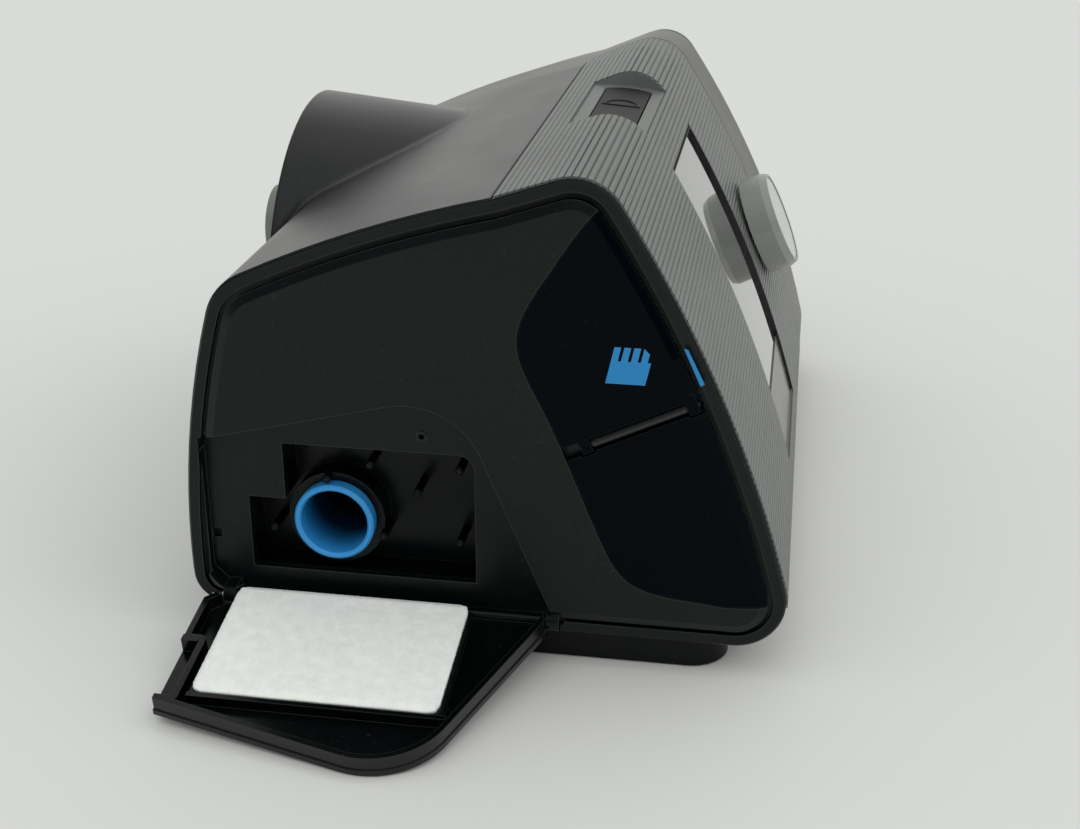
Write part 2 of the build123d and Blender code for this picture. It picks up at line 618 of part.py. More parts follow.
def make_filter_door():
    """Tray-shaped door: face plate, rim, filter frame, hinge roll with pins and a clip."""
    face_x = -PANEL_PROUD
    rim_x = RECESS_DEPTH - PANEL_PROUD - PARTING
    plate = slab(door_outline(), face_x, face_x + DOOR_PLATE)
    plate = fillet(plate.edges().group_by(Axis.X)[0], 0.4)
    step_y = (DOOR_REAR_Y - RIM_STEP, DOOR_REAR_Y + 1)
    step_z = (RIM_STEP_Z, DOOR_TOP_REAR_Z - RIM_SETBACK - DOOR_RIM)
    step = Pos(sum(step_y) / 2, sum(step_z) / 2) * Rectangle(step_y[1] - step_y[0], step_z[1] - step_z[0])
    rim_face = (door_outline(-RIM_SETBACK) - step).face()
    rim = slab(rim_face, face_x + DOOR_PLATE, rim_x) - slab(offset(rim_face, -DOOR_RIM), -10, 10)
    door = plate + rim
    door -= block(-10, 10, -100, 5, 0, HINGE_Z)
    roll = rod_y(HINGE_FRONT_Y, HINGE_REAR_Y, HINGE_X, HINGE_Z, HINGE_RADIUS)
    door += roll
    door += block(face_x + 0.2, face_x + DOOR_PLATE, HINGE_FRONT_Y, HINGE_REAR_Y, HINGE_Z, HINGE_Z + 3)
    door += block(face_x + 0.2, HINGE_X, HINGE_FRONT_Y, HINGE_REAR_Y, HINGE_Z, HINGE_Z + 1.2)
    for y0, y1 in ear_spans():
        door -= rod_y(y0 - GAP, y1 + GAP, HINGE_X, HINGE_Z, EAR_RADIUS + 2 * GAP)
        door -= block(HINGE_X, 10, y0 - GAP, y1 + GAP, 0, HINGE_Z + RIM_NOTCH)
    door -= rod_y(HINGE_REAR_Y + 3, 0, HINGE_X, HINGE_Z, EAR_RADIUS + 2 * GAP)
    door += rod_y(HINGE_FRONT_Y - 3.2, HINGE_REAR_Y + 3.2, HINGE_X, HINGE_Z, HINGE_PIN)
    frame_low = HINGE_Z + HINGE_RADIUS
    frame_high = PAD_LOW_Z + PAD_WIDTH + 1.6
    front = PAD_REAR_Y - PAD_LENGTH
    floor_x = face_x + DOOR_PLATE
    frame = block(floor_x, floor_x + PAD_FRAME, front - 0.6, PAD_REAR_Y + 0.3, frame_low, frame_high)
    frame -= block(-10, 10, front + 2.0, PAD_REAR_Y - 2.0, frame_low + 3, frame_high - 3)
    lip_x = floor_x + PAD_FRAME + 0.8
    frame += block(floor_x, lip_x, front - 2.0, PAD_REAR_Y + 0.3, frame_high - 1.2, frame_high)
    door += frame
    clip = block(face_x + DOOR_PLATE, rim_x, DOOR_REAR_Y - 4.0, DOOR_REAR_Y, HINGE_Z + 19, HINGE_Z + 21)
    door += clip
    return open_door(door)


def make_filter_pad():
    """White non-woven filter lying in the open door."""
    low_x = DOOR_PLATE + PAD_FRAME - PANEL_PROUD
    high_x = low_x + PAD_THICK
    front_y = PAD_REAR_Y - PAD_LENGTH
    pad = block(low_x, high_x, front_y, PAD_REAR_Y, PAD_LOW_Z, PAD_LOW_Z + PAD_WIDTH)
    pad = fillet(pad.edges().filter_by(Axis.X), 2.5)
    return open_door(pad)


PAD_LOW_Z = HINGE_Z


def cover_body():
    """Glossy cover blank, flush with the panel's raised face."""
    blank = slab(cover_outline(COVER_GAP), -PANEL_PROUD, COVER_THICK - PANEL_PROUD)
    return blank & raised_form(5)


def make_card_cover():
    """Upper glossy cover with two small rings that turn on the hinge bar."""
    cover = cover_blank & bar_side(BAR_RADIUS + 0.5, True)
    for start in (0.3, BAR_LENGTH - EAR_LENGTH - 0.3):
        ring = bar_rod(RING_RADIUS, start, start + EAR_LENGTH)
        arm = bar_rod(3.2, start, start + EAR_LENGTH) & bar_side(0, True)
        arm = arm & block(-PANEL_PROUD, COVER_THICK - PANEL_PROUD, -150, 0, 0, 120)
        cover += arm + (ring & block(-PANEL_PROUD, 5, -150, 0, 0, 120))
    return cover - bar_rod(BAR_JOURNAL + RUNNING)


def make_card_cover_bar():
    """Satin bar between the two covers; the card cover turns on its thin ends."""
    bar = bar_rod(BAR_RADIUS, EAR_LENGTH + 0.6, BAR_LENGTH - EAR_LENGTH - 0.6)
    return bar + bar_rod(BAR_JOURNAL)


def make_adapter_cover():
    """Lower glossy cover, a push fit in the panel."""
    cover = cover_blank & bar_side(BAR_RADIUS + 0.5, False)
    cover -= ring_spaces()
    return cover


def card_slot(grow, start, end):
    """Slot behind the card cover, standing upright along the cover's length."""
    half_width = CARD_WIDTH / 2 + grow
    half_thick = CARD_THICK / 2 + grow
    slot = Box(end - start, half_thick * 2, half_width * 2)
    return Pos((start + end) / 2, CARD_Y, CARD_Z) * Rot(CARD_LEAN, 0, 0) * slot


def make_card_socket():
    """Sheet-metal card reader behind the panel."""
    start = PANEL_INSIDE + 0.2
    body = card_slot(1.2, start, start + 26)
    return body - card_slot(0.2, start - 1, start + 24)


def make_memory_card():
    """Memory card in its socket."""
    return card_slot(0, PANEL_INSIDE - 3.0, PANEL_INSIDE - 3.0 + CARD_LENGTH - 5)


# ---------------------------------------------------------------- buttons, screen and dial
def make_screen_lens():
    """Glossy window that follows the front face, set a little below it."""
    lens = skin(WINDOW_DROP, DISPLAY_FRONT, WINDOW_NEAR_X + PARTING, WINDOW_FAR_X - PARTING)
    return lens & block(0, 200, -150, -99, HOME_TOP_Z + GAP, WINDOW_TOP_Z - PARTING)


def make_home_button():
    """Wide key below the window, with a stem over its switch."""
    key = skin(HOME_DROP, DISPLAY_FRONT, WINDOW_NEAR_X + GAP, WINDOW_FAR_X - GAP)
    key = key & block(0, 200, -150, -99, HOME_BOTTOM_Z + GAP, HOME_TOP_Z - GAP)
    point, normal = front_point((HOME_TOP_Z + HOME_BOTTOM_Z) / 2)
    middle_x = (WINDOW_NEAR_X + WINDOW_FAR_X) / 2
    top = DISPLAY_FRONT - 0.6
    bottom = FRONT_BOARD - 1.2 - SWITCH_PLAY - HOME_TRAVEL
    origin = Vector(middle_x, point.Y, point.Z) - normal * ((top + bottom) / 2)
    return key + Plane(origin=origin, z_dir=normal) * Cylinder(2.0, bottom - top)


def make_display_module():
    """Display cell and its frame behind the window."""
    cell = skin(DISPLAY_FRONT, FRONT_BOARD, WINDOW_NEAR_X - 2, WINDOW_FAR_X + 2)
    return cell & block(0, 200, -150, SCOOP_FRONT[0] - 2.2, HOME_TOP_Z + 2.5, WINDOW_TOP_Z + 1)


def make_key_board():
    """Front circuit board behind the display, with the home switch under its key."""
    board = skin(FRONT_BOARD, FRONT_BOARD + BOARD_THICK, WINDOW_NEAR_X - 6, FASCIA_LENGTH - 8)
    board = board & block(0, 200, -150, -95, HOME_BOTTOM_Z, 98)
    point, normal = front_point((HOME_TOP_Z + HOME_BOTTOM_Z) / 2)
    middle_x = (WINDOW_NEAR_X + WINDOW_FAR_X) / 2
    origin = Vector(middle_x, point.Y, point.Z) - normal * (FRONT_BOARD - 0.6)
    board += Plane(origin=origin, z_dir=normal) * Box(SWITCH_SIZE, SWITCH_SIZE, 1.2)
    board -= dial_plane(-FRONT_BOARD - BOARD_THICK / 2) * Cylinder(SHAFT_RADIUS + 0.6, 6)
    low = START_BOARD_Z - BOARD_THICK
    small = block(START_NEAR_X, START_FAR_X, START_FRONT_Y + 1, SCOOP_REAR[0] + 1, low, START_BOARD_Z)
    small += Pos(*START_SWITCH, START_BOARD_Z + 0.8) * Box(SWITCH_SIZE, SWITCH_SIZE, 1.6)
    return [board, small]


def make_start_button():
    """Key in the scoop with a raised half-moon mark and a stem."""
    low = BODY_HEIGHT - 8.6
    stem_low = START_BOARD_Z + 1.6 + SWITCH_PLAY + START_TRAVEL
    key = upright(start_key_plan(GAP), low, 125) & below_scoop()
    middle = (START_FRONT_Y + START_REAR_Y) / 2
    half = Rectangle(MARK_DEPTH, MARK_WIDTH, align=(Align.MIN, Align.CENTER))
    hole = Ellipse(MARK_DEPTH - MARK_LINE, MARK_WIDTH / 2 - MARK_LINE) & (Pos(MARK_LINE, 0) * half)
    mark = Pos(MARK_X, middle) * ((Ellipse(MARK_DEPTH, MARK_WIDTH / 2) & half) - hole)
    key += upright(mark, low, 125) & below_scoop(MARK_HEIGHT)
    key += rod_z(stem_low, low, *START_SWITCH, 2.0)
    return key


def make_dial():
    """Round knob with a cupped front."""
    base = DIAL_BASE
    knob = dial_plane(base + DIAL_SKIRT / 2) * Cylinder(DIAL_RADIUS, DIAL_SKIRT)
    top = dial_plane(base + DIAL_SKIRT)
    knob += top * extrude(Circle(DIAL_RADIUS), DIAL_HEIGHT - DIAL_SKIRT, taper=22)
    knob -= dial_plane(base + DIAL_HEIGHT) * Cylinder(DIAL_FACE_RADIUS, 1.6)
    knob -= dial_plane(base) * Cylinder(SHAFT_RADIUS + RUNNING, 2 * (DIAL_SKIRT - 2))
    return knob


def make_dial_face():
    """Bright disc let into the knob."""
    base = DIAL_BASE
    disc = dial_plane(base + DIAL_HEIGHT - 0.5) * Cylinder(DIAL_FACE_RADIUS, 0.6)
    return chamfer(disc.edges().filter_by(GeomType.CIRCLE).sort_by_distance(dial_plane(50).origin)[0], 0.25)


def make_dial_shaft():
    """Encoder shaft that the knob turns on and that is pressed to select."""
    top = DIAL_BASE + DIAL_SKIRT - 2.2
    bottom = -FRONT_BOARD - 2.6
    return dial_plane((top + bottom) / 2) * Cylinder(SHAFT_RADIUS, top - bottom)


def make_dial_encoder():
    """Encoder can and bush behind the fascia."""
    height = 4.4
    can = dial_plane(-WALL - GAP - height / 2) * Box(12, 12, height)
    can -= slab(side_outline(FRONT_BOARD), DIAL_X - 10, DIAL_X + 10)
    return can - dial_plane(-6.0) * Cylinder(SHAFT_RADIUS + RUNNING, 12)


# ---------------------------------------------------------------- outlet and power
def make_outlet_connector():
    """22 mm outlet connector with a collar behind the hood's wall."""
    tube = rod_y(OUTLET_INNER_Y, OUTLET_END_Y, OUTLET_X, OUTLET_Z, OUTLET_RADIUS)
    tube += rod_y(OUTLET_INNER_Y, OUTLET_SEAT_Y, OUTLET_X, OUTLET_Z, OUTLET_RADIUS + OUTLET_STEP)
    tube += rod_y(OUTLET_INNER_Y, HOOD_REAR_Y - WALL - 0.8, OUTLET_X, OUTLET_Z, OUTLET_RADIUS + 3)
    return tube - rod_y(OUTLET_INNER_Y, OUTLET_END_Y, OUTLET_X, OUTLET_Z, OUTLET_BORE)


def make_outlet_seal():
    """Rubber ring between the connector's collar and the hood's wall."""
    rear = HOOD_REAR_Y - WALL
    ring = rod_y(rear - 0.8, rear, OUTLET_X, OUTLET_Z, OUTLET_RADIUS + 3)
    ring += rod_y(rear, HOOD_REAR_Y + 0.4, OUTLET_X, OUTLET_Z, OUTLET_RADIUS + 1.5)
    return ring - rod_y(rear - 1, HOOD_REAR_Y + 1, OUTLET_X, OUTLET_Z, OUTLET_RADIUS + OUTLET_STEP)


def make_outlet_plenum():
    """Air box that turns the humid air from the bay to the connector."""
    x0 = OUTLET_X - OUTLET_RADIUS - 4
    box = block(x0, BAY_START_X, -34, OUTLET_INNER_Y, OUTLET_Z - 14, OUTLET_Z + 14)
    box -= block(x0 + 1.6, BAY_START_X - 1.6, -32.4, OUTLET_INNER_Y - 1.6, OUTLET_Z - 12.4, OUTLET_Z + 12.4)
    box -= rod_y(OUTLET_INNER_Y - 3, OUTLET_INNER_Y + 1, OUTLET_X, OUTLET_Z, OUTLET_BORE)
    return box - rod_x(BAY_START_X - 3, BAY_START_X + 1, -24, OUTLET_Z - 5, 5.0)


def make_power_inlet():
    """Power socket in the rear wall, with a rectangular mouth."""
    rear = 1.4
    front = rear - SOCKET_DEPTH
    half_w = SOCKET_WIDTH / 2
    half_h = SOCKET_HEIGHT / 2
    body = block(SOCKET_X - half_w, SOCKET_X + half_w, front, rear, SOCKET_Z - half_h, SOCKET_Z + half_h)
    body = fillet(body.edges().filter_by(Axis.Y), 2.0)
    mouth = block(SOCKET_X - half_w + 2, SOCKET_X + half_w - 2, front + 3, rear + 1,
                  SOCKET_Z - half_h + 2, SOCKET_Z + half_h - 2)
    return body - fillet(mouth.edges().filter_by(Axis.Y), 1.2)


def make_power_pins():
    """Three contact pins low in the power socket."""
    front = 1.4 - SOCKET_DEPTH
    return [rod_y(front + 3, -2.0, SOCKET_X + dx, SOCKET_Z - 3.2, 0.8) for dx in (-5.0, 0.0, 5.0)]


CLIP_PIVOT_Z = SOCKET_Z + SOCKET_HEIGHT / 2 + 5.0
CLIP_PIVOT_Y = 2.4


def make_retention_clip():
    """U-shaped lever that folds down over the plug, hinged above the socket."""
    half_w = SOCKET_WIDTH / 2 + 3.0
    low = SOCKET_Z - SOCKET_HEIGHT / 2 - 3.0
    plate = block(SOCKET_X - half_w, SOCKET_X + half_w, 1.8, 3.4, low, CLIP_PIVOT_Z + 0.8)
    plate -= block(SOCKET_X - 7.0, SOCKET_X + 7.0, 0, 5, low + 4.0, CLIP_PIVOT_Z - 4.0)
    plate = fillet(plate.edges().filter_by(Axis.Y), 1.5)
    plate += rod_x(SOCKET_X - half_w, SOCKET_X + half_w, CLIP_PIVOT_Y, CLIP_PIVOT_Z, 1.6)
    return plate - rod_x(0, 80, CLIP_PIVOT_Y, CLIP_PIVOT_Z, 0.8 + RUNNING)


def make_clip_pin():
    """Steel pin of the retention clip, with two brackets on the rear wall."""
    half_w = SOCKET_WIDTH / 2 + 3.0
    pin = rod_x(SOCKET_X - half_w - 3, SOCKET_X + half_w + 3, CLIP_PIVOT_Y, CLIP_PIVOT_Z, 0.8)
    for side in (-1, 1):
        inner = SOCKET_X + side * (half_w + 0.4)
        outer = SOCKET_X + side * (half_w + 3.0)
        lug = rod_x(min(inner, outer), max(inner, outer), CLIP_PIVOT_Y, CLIP_PIVOT_Z, 1.8)
        lug += block(inner, outer, -1.4, CLIP_PIVOT_Y, CLIP_PIVOT_Z - 1.8, CLIP_PIVOT_Z + 1.8)
        pin += lug
    return pin - housing()


# ---------------------------------------------------------------- humidifier
def make_humidifier_bay():
    """Open-ended box for the water tub with the flange that closes the housing's end."""
    bay = block(BAY_START_X, SHELL_LENGTH, BAY_FRONT_Y, BAY_REAR_Y, FLOOR_Z, BAY_TOP_Z)
    flange = slab(side_outline(WALL + PARTING, FAR_DROP), SHELL_LENGTH - 2, SHELL_LENGTH - 0.2)
    flange = flange & block(0, 300, -160, 20, LOWER_TOP + 0.4, 130)
    bay += flange
    inner = block(BAY_START_X + BAY_WALL, SHELL_LENGTH + 1, BAY_FRONT_Y + BAY_WALL, BAY_REAR_Y - BAY_WALL,
                  FLOOR_Z + BAY_WALL, BAY_TOP_Z - BAY_WALL)
    bay -= inner
    bay -= rod_x(BAY_START_X - 1, BAY_START_X + 3, -24, OUTLET_Z - 5, 5.0)
    return bay - rod_x(BAY_START_X - 1, BAY_START_X + 3, -70, 66, 5.0)


def make_heater_plate():
    """Metal warming plate on the bay's floor."""
    z0 = FLOOR_Z + BAY_WALL
    z1 = z0 + HEATER_THICK
    plate = block(BAY_START_X + 10, SHELL_LENGTH - 12, BAY_FRONT_Y + 12, BAY_REAR_Y - 12, z0, z1)
    return fillet(plate.edges().filter_by(Axis.Z), 8.0)


TUB_X0 = BAY_START_X + BAY_WALL + TUB_GAP
TUB_X1 = SHELL_LENGTH + 1.0
TUB_Y0 = BAY_FRONT_Y + BAY_WALL + TUB_GAP
TUB_Y1 = BAY_REAR_Y - BAY_WALL - TUB_GAP
TUB_Z0 = FLOOR_Z + BAY_WALL + HEATER_THICK + 0.3


def make_tub_body():
    """Clear water tub, open on top, with a floor opening for the metal base plate."""
    tub = block(TUB_X0, TUB_X1, TUB_Y0, TUB_Y1, TUB_Z0, TUB_RIM_Z)
    tub = fillet(tub.edges().filter_by(Axis.Z).group_by(Axis.X)[0], 10.0)
    floor_z = TUB_Z0 + TUB_WALL
    water = block(TUB_X0 + TUB_WALL, TUB_X1 - TUB_WALL, TUB_Y0 + TUB_WALL, TUB_Y1 - TUB_WALL, floor_z, 90)
    water = fillet(water.edges().filter_by(Axis.Z), 8.0)
    tub -= water
    return tub - make_tub_plate()


def make_tub_plate():
    """Stainless base plate in the tub's floor."""
    plate = block(TUB_X0 + 10, TUB_X1 - 14, TUB_Y0 + 11, TUB_Y1 - 11, TUB_Z0, TUB_Z0 + TUB_WALL)
    return fillet(plate.edges().filter_by(Axis.Z), 8.0)


def make_tub_seal():
    """Flat silicone seal between the tub's rim and its lid."""
    ring = block(TUB_X0, TUB_X1, TUB_Y0, TUB_Y1, TUB_RIM_Z, TUB_RIM_Z + 1.6)
    ring = fillet(ring.edges().filter_by(Axis.Z).group_by(Axis.X)[0], 10.0)
    hole = block(TUB_X0 + 3, TUB_X1 - 3, TUB_Y0 + 3, TUB_Y1 - 3, TUB_RIM_Z - 1, TUB_RIM_Z + 3)
    return ring - fillet(hole.edges().filter_by(Axis.Z), 8.0)


def make_tub_lid():
    """Hollow lid over the water, with the two air ports in its inner end."""
    z0 = TUB_RIM_Z + 1.6
    lid = block(TUB_X0, TUB_X1, TUB_Y0, TUB_Y1, z0, TUB_LID_TOP_Z)
    lid = fillet(lid.edges().filter_by(Axis.Z).group_by(Axis.X)[0], 10.0)
    lid -= block(TUB_X0 + 2, TUB_X1 - 2, TUB_Y0 + 2, TUB_Y1 - 2, z0 - 1, TUB_LID_TOP_Z - 2)
    lid -= rod_x(TUB_X0 - 1, TUB_X0 + 4, -24, OUTLET_Z - 5, 3.5)
    return lid - rod_x(TUB_X0 - 1, TUB_X0 + 4, -70, 66, 3.5)


def make_tub_end_cap():
    """Dark end cap of the tub: the far end of the machine, with a finger grip on top."""
    start = SHELL_LENGTH + 1.0
    outline = side_outline(1.2, FAR_DROP)
    cap = slab(outline, start, SHELL_LENGTH + CAP_LENGTH)
    cap = fillet(cap.edges().group_by(Axis.X)[-1], 7.0)
    grip = block(start + 3, start + 11, -78, -38, 88, 130)
    cap -= fillet(grip.edges().filter_by(Axis.Z), 2.5)
    return cap


# ---------------------------------------------------------------- blower and electronics
def make_blower_housing():
    """Spiral lower half of the blower with its outlet duct towards the bay."""
    z0 = BLOWER_Z
    z1 = BLOWER_Z + BLOWER_HEIGHT
    body = rod_z(z0, z1, BLOWER_X, BLOWER_Y, BLOWER_RADIUS)
    duct_y = BLOWER_Y - BLOWER_RADIUS + 9
    body += block(BLOWER_X, BAY_START_X - 1.4, duct_y - 9, duct_y + 9, z0, z1)
    hollow = rod_z(z0 + 2, z1 + 1, BLOWER_X, BLOWER_Y, BLOWER_RADIUS - 2)
    hollow += block(BLOWER_X, BAY_START_X, duct_y - 7, duct_y + 7, z0 + 2, z1 + 1)
    body -= hollow
    return body - rod_z(z0 - 1, z0 + 3, BLOWER_X, BLOWER_Y, 11.0)


def make_blower_cover():
    """Upper half of the blower with the motor seat."""
    z0 = BLOWER_Z + BLOWER_HEIGHT
    duct_y = BLOWER_Y - BLOWER_RADIUS + 9
    lid = rod_z(z0, z0 + 2, BLOWER_X, BLOWER_Y, BLOWER_RADIUS)
    lid += block(BLOWER_X, BAY_START_X - 1.4, duct_y - 9, duct_y + 9, z0, z0 + 2)
    lid += rod_z(z0, z0 + 5, BLOWER_X, BLOWER_Y, 16.0)
    return lid - rod_z(z0 - 1, z0 + 7, BLOWER_X, BLOWER_Y, 14.0)


def make_motor():
    """Brushless motor can on the blower cover, with a bore for the impeller's shaft."""
    z0 = BLOWER_Z + BLOWER_HEIGHT
    can = rod_z(z0, z0 + 20, BLOWER_X, BLOWER_Y, 14.0)
    can = chamfer(can.edges().group_by(Axis.Z)[-1], 1.5)
    return can - rod_z(z0 - 1, z0 + 12, BLOWER_X, BLOWER_Y, 2.0 + RUNNING)


def make_impeller():
    """Centrifugal impeller: hub, back plate and curved blades."""
    z0 = BLOWER_Z + 5.0
    plate_z = BLOWER_Z + BLOWER_HEIGHT - 4.0
    wheel = rod_z(plate_z, plate_z + 1.4, BLOWER_X, BLOWER_Y, IMPELLER_RADIUS)
    wheel += rod_z(z0 + 3, plate_z, BLOWER_X, BLOWER_Y, 6.0)
    back = ThreePointArc((7.5, 0.5), (15.5, -2.1), (IMPELLER_RADIUS - 0.6, -8.5))
    front = ThreePointArc((7.5, -0.5), (15.5, -3.1), (IMPELLER_RADIUS - 0.6, -9.5))
    blade_face = make_face([back, Line(back @ 1, front @ 1), front, Line(front @ 0, back @ 0)])
    blade = Pos(0, 0, z0) * extrude(blade_face, plate_z - z0)
    for i in range(IMPELLER_BLADES):
        wheel += Pos(BLOWER_X, BLOWER_Y, 0) * Rot(0, 0, i * 360 / IMPELLER_BLADES) * blade
    wheel += rod_z(plate_z, BLOWER_Z + BLOWER_HEIGHT + 11, BLOWER_X, BLOWER_Y, 2.0)
    return wheel


def make_blower_mounts():
    """Three soft mounts that carry the blower above the lower case."""
    mounts = []
    for x, y in mount_places():
        mount = rod_z(FLOOR_Z, BLOWER_Z, x, y, MOUNT_RADIUS)
        waist = rod_z(FLOOR_Z + 8, BLOWER_Z - 8, x, y, MOUNT_RADIUS + 1)
        mount -= waist - rod_z(FLOOR_Z, BLOWER_Z, x, y, MOUNT_RADIUS - 1.2)
        mounts.append(mount)
    return mounts


def mount_places():
    """Centres of the blower's soft mounts."""
    reach = BLOWER_RADIUS - 7
    angles = [radians(90 + 120 * i) for i in range(3)]
    return [(BLOWER_X + reach * cos(angle), BLOWER_Y + reach * sin(angle)) for angle in angles]


def make_main_board():
    """Main circuit board on four posts under the blower, with its larger components."""
    top = BOARD_Z + BOARD_THICK
    board = block(*BOARD_X, *BOARD_Y, BOARD_Z, top)
    for x, y in board_posts():
        board -= rod_z(BOARD_Z - 1, top + 1, x, y, 1.2)
    for x, y in mount_places():
        board -= rod_z(BOARD_Z - 1, top + 1, x, y, MOUNT_RADIUS + 0.8)
    board += block(46, 62, -38, -27, top, top + 7)
    board += block(34, 54, -108, -92, top, top + 3)
    board += block(62, 74, -112, -100, top, top + 2)
    board += rod_z(top, top + 11, 92, -104, 5.0)
    return board + rod_z(top, top + 9, 94, -40, 4.0)


cover_blank = cover_body()

PIECES = {
    "top_cover": make_top_cover(),
    "fascia": make_fascia(),
    "lower_case": make_lower_case(),
    "rubber_feet": make_rubber_feet(),
    "case_screws": make_case_screws(),
    "side_panel": make_side_panel(),
    "filter_pocket": make_filter_pocket(),
    "inlet_tube": make_inlet_tube(),
    "filter_door": make_filter_door(),
    "filter_pad": make_filter_pad(),
    "card_cover": make_card_cover(),
    "card_cover_bar": make_card_cover_bar(),
    "adapter_cover": make_adapter_cover(),
    "card_socket": make_card_socket(),
    "memory_card": make_memory_card(),
    "screen_lens": make_screen_lens(),
    "home_button": make_home_button(),
    "display_module": make_display_module(),
    "key_board": make_key_board(),
    "start_button": make_start_button(),
    "dial": make_dial(),
    "dial_face": make_dial_face(),
    "dial_shaft": make_dial_shaft(),
    "dial_encoder": make_dial_encoder(),
    "outlet_connector": make_outlet_connector(),
    "outlet_seal": make_outlet_seal(),
    "outlet_plenum": make_outlet_plenum(),
    "power_inlet": make_power_inlet(),
    "power_pins": make_power_pins(),
    "retention_clip": make_retention_clip(),
    "clip_pin": make_clip_pin(),
    "humidifier_bay": make_humidifier_bay(),
    "heater_plate": make_heater_plate(),
    "tub_body": make_tub_body(),
    "tub_plate": make_tub_plate(),
    "tub_seal": make_tub_seal(),
    "tub_lid": make_tub_lid(),
    "tub_end_cap": make_tub_end_cap(),
    "blower_housing": make_blower_housing(),
    "blower_cover": make_blower_cover(),
    "motor": make_motor(),
    "impeller": make_impeller(),
    "blower_mounts": make_blower_mounts(),
    "main_board": make_main_board(),
}


def as_compound(piece):
    """One compound of the node's solids."""
    solids = []
    for shape in piece if isinstance(piece, list) else [piece]:
        solids += list(shape.solids())
    return Compound(solids)


# The origin is on the table, below the middle of the whole object with its door open.
nodes = {name: as_compound(piece) for name, piece in PIECES.items()}
extent = Compound(list(nodes.values())).bounding_box()
ORIGIN = Vector(extent.center().X, extent.center().Y, extent.min.Z)

os.makedirs("parts", exist_ok=True)
for name, node in nodes.items():
    export_step(Pos(-ORIGIN.X, -ORIGIN.Y, -ORIGIN.Z) * node, f"parts/{name}.step")
print("origin", ORIGIN)
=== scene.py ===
import json
import math

import bmesh
import bpy
from mathutils import Matrix, Vector, noise as field
from mathutils.bvhtree import BVHTree


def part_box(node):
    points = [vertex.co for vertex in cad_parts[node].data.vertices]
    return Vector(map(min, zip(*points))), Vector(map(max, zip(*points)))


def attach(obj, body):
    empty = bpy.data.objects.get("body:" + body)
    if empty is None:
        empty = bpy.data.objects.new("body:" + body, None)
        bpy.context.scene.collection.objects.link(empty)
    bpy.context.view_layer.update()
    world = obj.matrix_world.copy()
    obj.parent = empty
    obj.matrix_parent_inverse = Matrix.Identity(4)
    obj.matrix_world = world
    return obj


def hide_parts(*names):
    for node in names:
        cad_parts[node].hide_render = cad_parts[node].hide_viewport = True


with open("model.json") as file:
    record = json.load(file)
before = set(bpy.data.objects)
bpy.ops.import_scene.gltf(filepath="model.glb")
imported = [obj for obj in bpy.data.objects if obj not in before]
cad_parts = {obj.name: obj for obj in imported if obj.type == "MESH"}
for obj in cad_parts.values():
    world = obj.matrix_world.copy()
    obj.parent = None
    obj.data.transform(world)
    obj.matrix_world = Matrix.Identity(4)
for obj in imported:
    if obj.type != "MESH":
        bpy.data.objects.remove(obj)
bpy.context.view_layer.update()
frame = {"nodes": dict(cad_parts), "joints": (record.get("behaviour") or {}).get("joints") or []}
nodes = frame["nodes"]
scene = bpy.context.scene

# ---------------------------------------------------------------- place of the machine
# The housing's corner (filter end, rear wall, table) in the row frame, found from the top cover
# and the outlet connector, which reaches 10 mm out of the rear wall. Lengths below are in
# millimetres, and places are measured from that corner, as on a drawing.
outlet_reach = 10.0
corner_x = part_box("top_cover")[0].x
corner_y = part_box("outlet_connector")[1].y - outlet_reach / 1000


def at(x, y, z):
    """A point of the drawing, in millimetres, as a point of the row frame in metres."""
    return Vector((corner_x + x / 1000, corner_y + y / 1000, z / 1000))


# ---------------------------------------------------------------- camera
# The viewer stands at the filter end, 0.32 m out and 0.2 m above the table, and looks down on
# the machine by 23.5 degrees.
eye = at(-318.0, -135.1, 202.9)
focal_pixels = 1600
picture_pixels = 1080
right = Vector((0.163, -0.987, 0.0)).normalized()
view = Vector((0.905, 0.149, -0.399)).normalized()
up = right.cross(view).normalized()
camera = bpy.data.objects.new("camera", bpy.data.cameras.new("camera"))
camera.data.sensor_width = 36.0
camera.data.sensor_fit = "HORIZONTAL"
camera.data.lens = focal_pixels / picture_pixels * camera.data.sensor_width
camera.data.clip_start = 0.01
camera.matrix_world = Matrix.Translation(eye) @ Matrix((right, up, -view)).transposed().to_4x4()
scene.collection.objects.link(camera)
scene.camera = camera

# ---------------------------------------------------------------- table, backdrop and light
# A pale matt table that runs on out of sight, under broad soft light from above and in front.
# The far walls are pale and bright; the near side of the room and its ceiling mirror darker.
scene.view_settings.view_transform = "Standard"
table_reach = 6.0


def new_material(name):
    """An empty material with its shader, ready for its sockets."""
    material = bpy.data.materials.new(name)
    material.use_nodes = True
    shader = material.node_tree.nodes["Principled BSDF"]
    return material, material.node_tree, shader


def add_piece(name, mesh):
    """An object at the origin that carries a mesh."""
    piece = bpy.data.objects.new(name, mesh)
    scene.collection.objects.link(piece)
    return piece


def join(tree, name, *sources):
    """A math node of one operation, fed by sockets or plain numbers."""
    node = tree.nodes.new("ShaderNodeMath")
    node.operation = name
    for socket, source in zip(node.inputs, sources):
        if isinstance(source, bpy.types.NodeSocket):
            tree.links.new(source, socket)
        else:
            socket.default_value = source
    return node.outputs[0]


def dot(tree, first, second):
    """How far two directions agree; the second may be a plain vector."""
    node = tree.nodes.new("ShaderNodeVectorMath")
    node.operation = "DOT_PRODUCT"
    tree.links.new(first, node.inputs[0])
    if isinstance(second, bpy.types.NodeSocket):
        tree.links.new(second, node.inputs[1])
    else:
        node.inputs[1].default_value = second
    return node.outputs["Value"]


